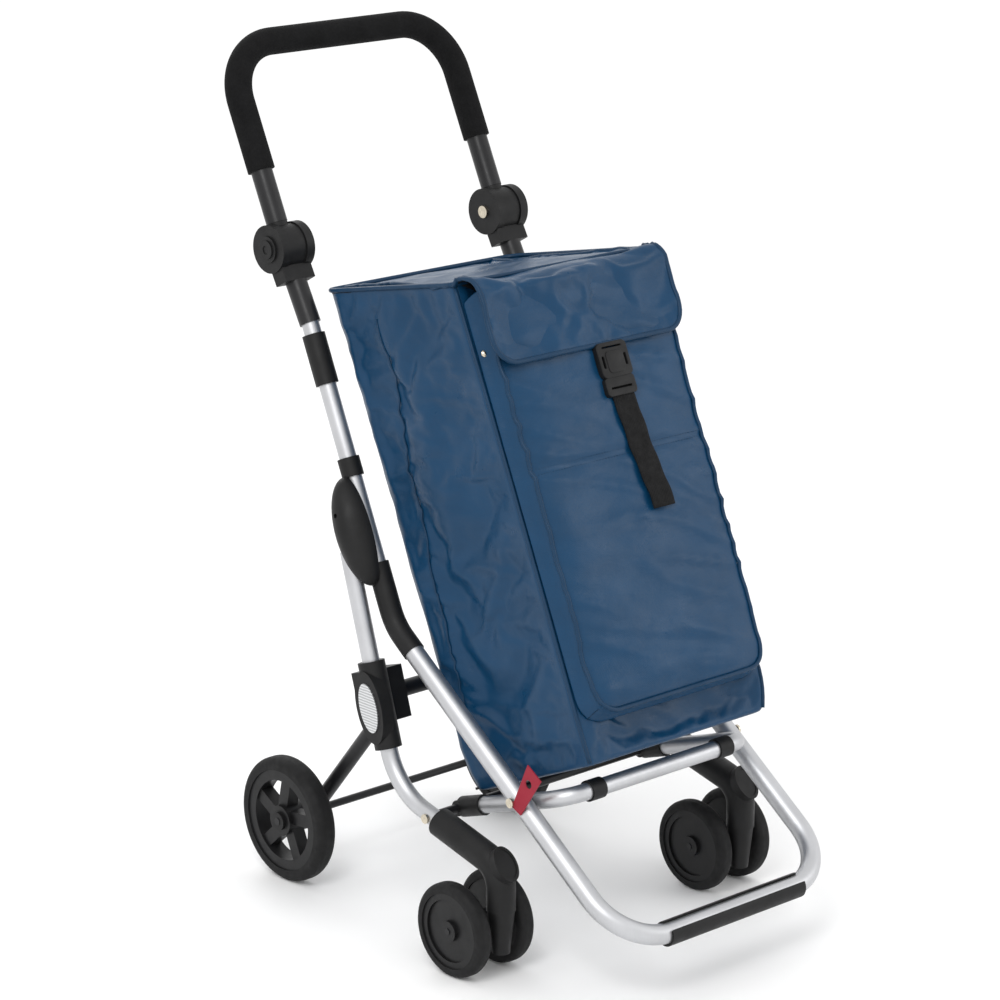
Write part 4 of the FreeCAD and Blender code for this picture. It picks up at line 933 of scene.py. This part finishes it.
def make_buckle():
    middle = SOCKET_TOP - SOCKET_LONG / 2
    centre = bag_point(BUCKLE_X, middle, buckle_face + 0.0048)
    body = rounded_box(2 * BUCKLE_HALF, SOCKET_LONG, 0.006)
    windows = [rounded_box(0.006, 0.017, 0.0028, side * (BUCKLE_HALF - 0.0055), -0.002)[::-1]
               for side in (-1, 1)]
    slot_top = rounded_box(0.034, 0.004, 0.0018, 0, SOCKET_LONG / 2 - 0.005)[::-1]
    socket = plate("buckle_socket_shell", [body, slot_top] + windows, 0.0088, centre,
                   materials["black_plastic"])
    finish_piece(socket, "flap", "black_plastic", "buckle_socket")
    raised = plate("buckle_socket_face", [rounded_box(0.026, 0.026, 0.005, 0, -0.003)], 0.0016,
                   centre + FORWARD * 0.0046, materials["black_plastic"], 0.0006)
    finish_piece(raised, "flap", "black_plastic")

    middle = SOCKET_TOP - SOCKET_LONG - 0.001 - PLUG_LONG / 2
    centre = bag_point(BUCKLE_X, middle, buckle_face + 0.0045)
    base = rounded_box(2 * BUCKLE_HALF - 0.001, PLUG_LONG - 0.0005, 0.004)
    gate = rounded_box(0.036, 0.0045, 0.0018, 0, -0.002)[::-1]
    plug = plate("buckle_plug_shell", [base, gate], 0.0080, centre, materials["black_plastic"])
    finish_piece(plug, "chassis", "black_plastic", "buckle_plug")


make_buckle()


STRAP_COLUMNS = 9
STRAP_THICK = 0.0016


def webbing_strip(name, half_width, profile, surface, body, *replaced):
    """Flat strap along a list of (a, w) points, with rounded edges."""
    across = STRAP_COLUMNS
    thick = STRAP_THICK
    vertices = []
    faces = []
    ring = 2 * (across + 1)
    for index, (a, w) in enumerate(profile):
        before = Vector(profile[max(0, index - 1)])
        after = Vector(profile[min(len(profile) - 1, index + 1)])
        along = (after - before).normalized()
        normal = Vector((-along.y, along.x))
        if normal.y < 0:
            normal = -normal
        drift = STRAP_DRIFT * (profile[0][0] - a)
        for layer in (1, -1):
            order = range(across + 1) if layer == 1 else range(across, -1, -1)
            for column in order:
                share = 2 * column / across - 1
                thin = thick * (1 - 0.5 * abs(share) ** 6) * layer / 2
                x = BUCKLE_X + drift + half_width * share
                vertices.append(bag_point(x, a + normal.x * thin, w + normal.y * thin))
    for index in range(len(profile) - 1):
        for column in range(ring):
            here = index * ring + column
            there = index * ring + (column + 1) % ring
            faces.append((here, there, there + ring, here + ring))
    faces.append(tuple(range(ring))[::-1])
    faces.append(tuple(range((len(profile) - 1) * ring, len(profile) * ring)))
    strip = mesh_object(name, vertices, faces, surface)
    face_outwards(strip)
    return finish_piece(strip, body, "webbing", *replaced)


STRAP_DRIFT = 0.12
STRAP_HALF = 0.018
STRAP_STEPS = 39
strap_profile = []
strap_top = SOCKET_TOP - SOCKET_LONG - 0.012
for step in range(STRAP_STEPS + 1):
    share = step / STRAP_STEPS
    a = strap_top + (STRAP_LOW - strap_top) * share
    wave = 0.0010 * math.sin(9 * share) + 0.0008 * math.sin(23 * share)
    strap_profile.append((a, buckle_face + 0.0034 + wave))
webbing_strip("webbing_strap", STRAP_HALF, strap_profile, materials["webbing"], "chassis", "strap")


def stud(name, centre, outward, radius):
    """Domed rivet head on a flat washer."""
    work = bmesh.new()
    turn = outward.to_track_quat("Z", "Y").to_matrix().to_4x4()
    place = Matrix.Translation(centre) @ turn
    bmesh.ops.create_uvsphere(work, u_segments=24, v_segments=12, radius=1.0,
                              matrix=place @ Matrix.Diagonal((radius * 0.7, radius * 0.7, radius * 0.45, 1)))
    bmesh.ops.create_cone(work, cap_ends=True, segments=32, radius1=radius, radius2=radius * 0.9,
                          depth=0.001, matrix=place)
    obj = bmesh_object(name, work, materials["plated_steel"], smooth=True)
    return finish_piece(obj, "chassis", "plated_steel")


RIVET_PLACE = bag_point(-0.1475, -0.142, BAG_DEEP + 0.0085)
RIVET_RADIUS = 0.0045
stud("bag_rivet", RIVET_PLACE, (FORWARD - 0.3 * ACROSS).normalized(), RIVET_RADIUS)


# ------------------------------------------------------------------ floor, light, camera
FLOOR_HALF = 3.2


def make_floor():
    work = bmesh.new()
    bmesh.ops.create_grid(work, x_segments=1, y_segments=1, size=FLOOR_HALF)
    nodes = Nodes("floor")
    nodes.set(Base_Color=nodes.colours(nodes.noise(2), (0.3, (0.90, 0.90, 0.90)), (0.7, (0.91, 0.91, 0.91))))
    nodes.set(Roughness=0.55, Specular_IOR_Level=0.2)
    floor = bmesh_object("floor", work, nodes.material)


make_floor()


def area_light(name, place, target, size, watts):
    light = bpy.data.lights.new(name, "AREA")
    light.shape = "DISK"
    light.size = size
    light.energy = watts
    lamp = bpy.data.objects.new(name, light)
    lamp.location = place
    lamp.rotation_euler = (Vector(target) - Vector(place)).to_track_quat("-Z", "Y").to_euler()
    bpy.context.scene.collection.objects.link(lamp)


MIDDLE = Vector((0, 0, 0.5))
area_light("key", (-2.6, -1.6, 3.2), MIDDLE, 1.8, 62)
area_light("fill", (2.8, -3.0, 1.8), MIDDLE, 2.2, 20)
area_light("rim", (0.8, 3.0, 2.6), MIDDLE, 1.8, 26)

world = bpy.data.worlds.new("studio")
bpy.context.scene.world = world
world.use_nodes = True
backdrop = world.node_tree.nodes["Background"]
backdrop.inputs["Color"].default_value = (1, 1, 1, 1)
backdrop.inputs["Strength"].default_value = 1.05

SENSOR_WIDTH = 36
LENS_LENGTH = 126.14
camera_data = bpy.data.cameras.new("camera")
camera_data.sensor_width = SENSOR_WIDTH
camera_data.lens = LENS_LENGTH
camera_data.clip_end = 100
camera = bpy.data.objects.new("camera", camera_data)
bpy.context.scene.collection.objects.link(camera)
CAMERA_AZIMUTH = math.radians(-42.46)
CAMERA_ELEVATION = math.radians(15.8)
CAMERA_DISTANCE = 4.3856
LOOK_AT = Vector((0, 0.051, 0.5127))
towards_camera = Vector((
    math.sin(CAMERA_AZIMUTH) * math.cos(CAMERA_ELEVATION),
    -math.cos(CAMERA_AZIMUTH) * math.cos(CAMERA_ELEVATION),
    math.sin(CAMERA_ELEVATION)))
camera.location = LOOK_AT + towards_camera * CAMERA_DISTANCE
camera.rotation_euler = towards_camera.to_track_quat("Z", "Y").to_euler()
bpy.context.scene.camera = camera
bpy.context.scene.view_settings.view_transform = "Standard"
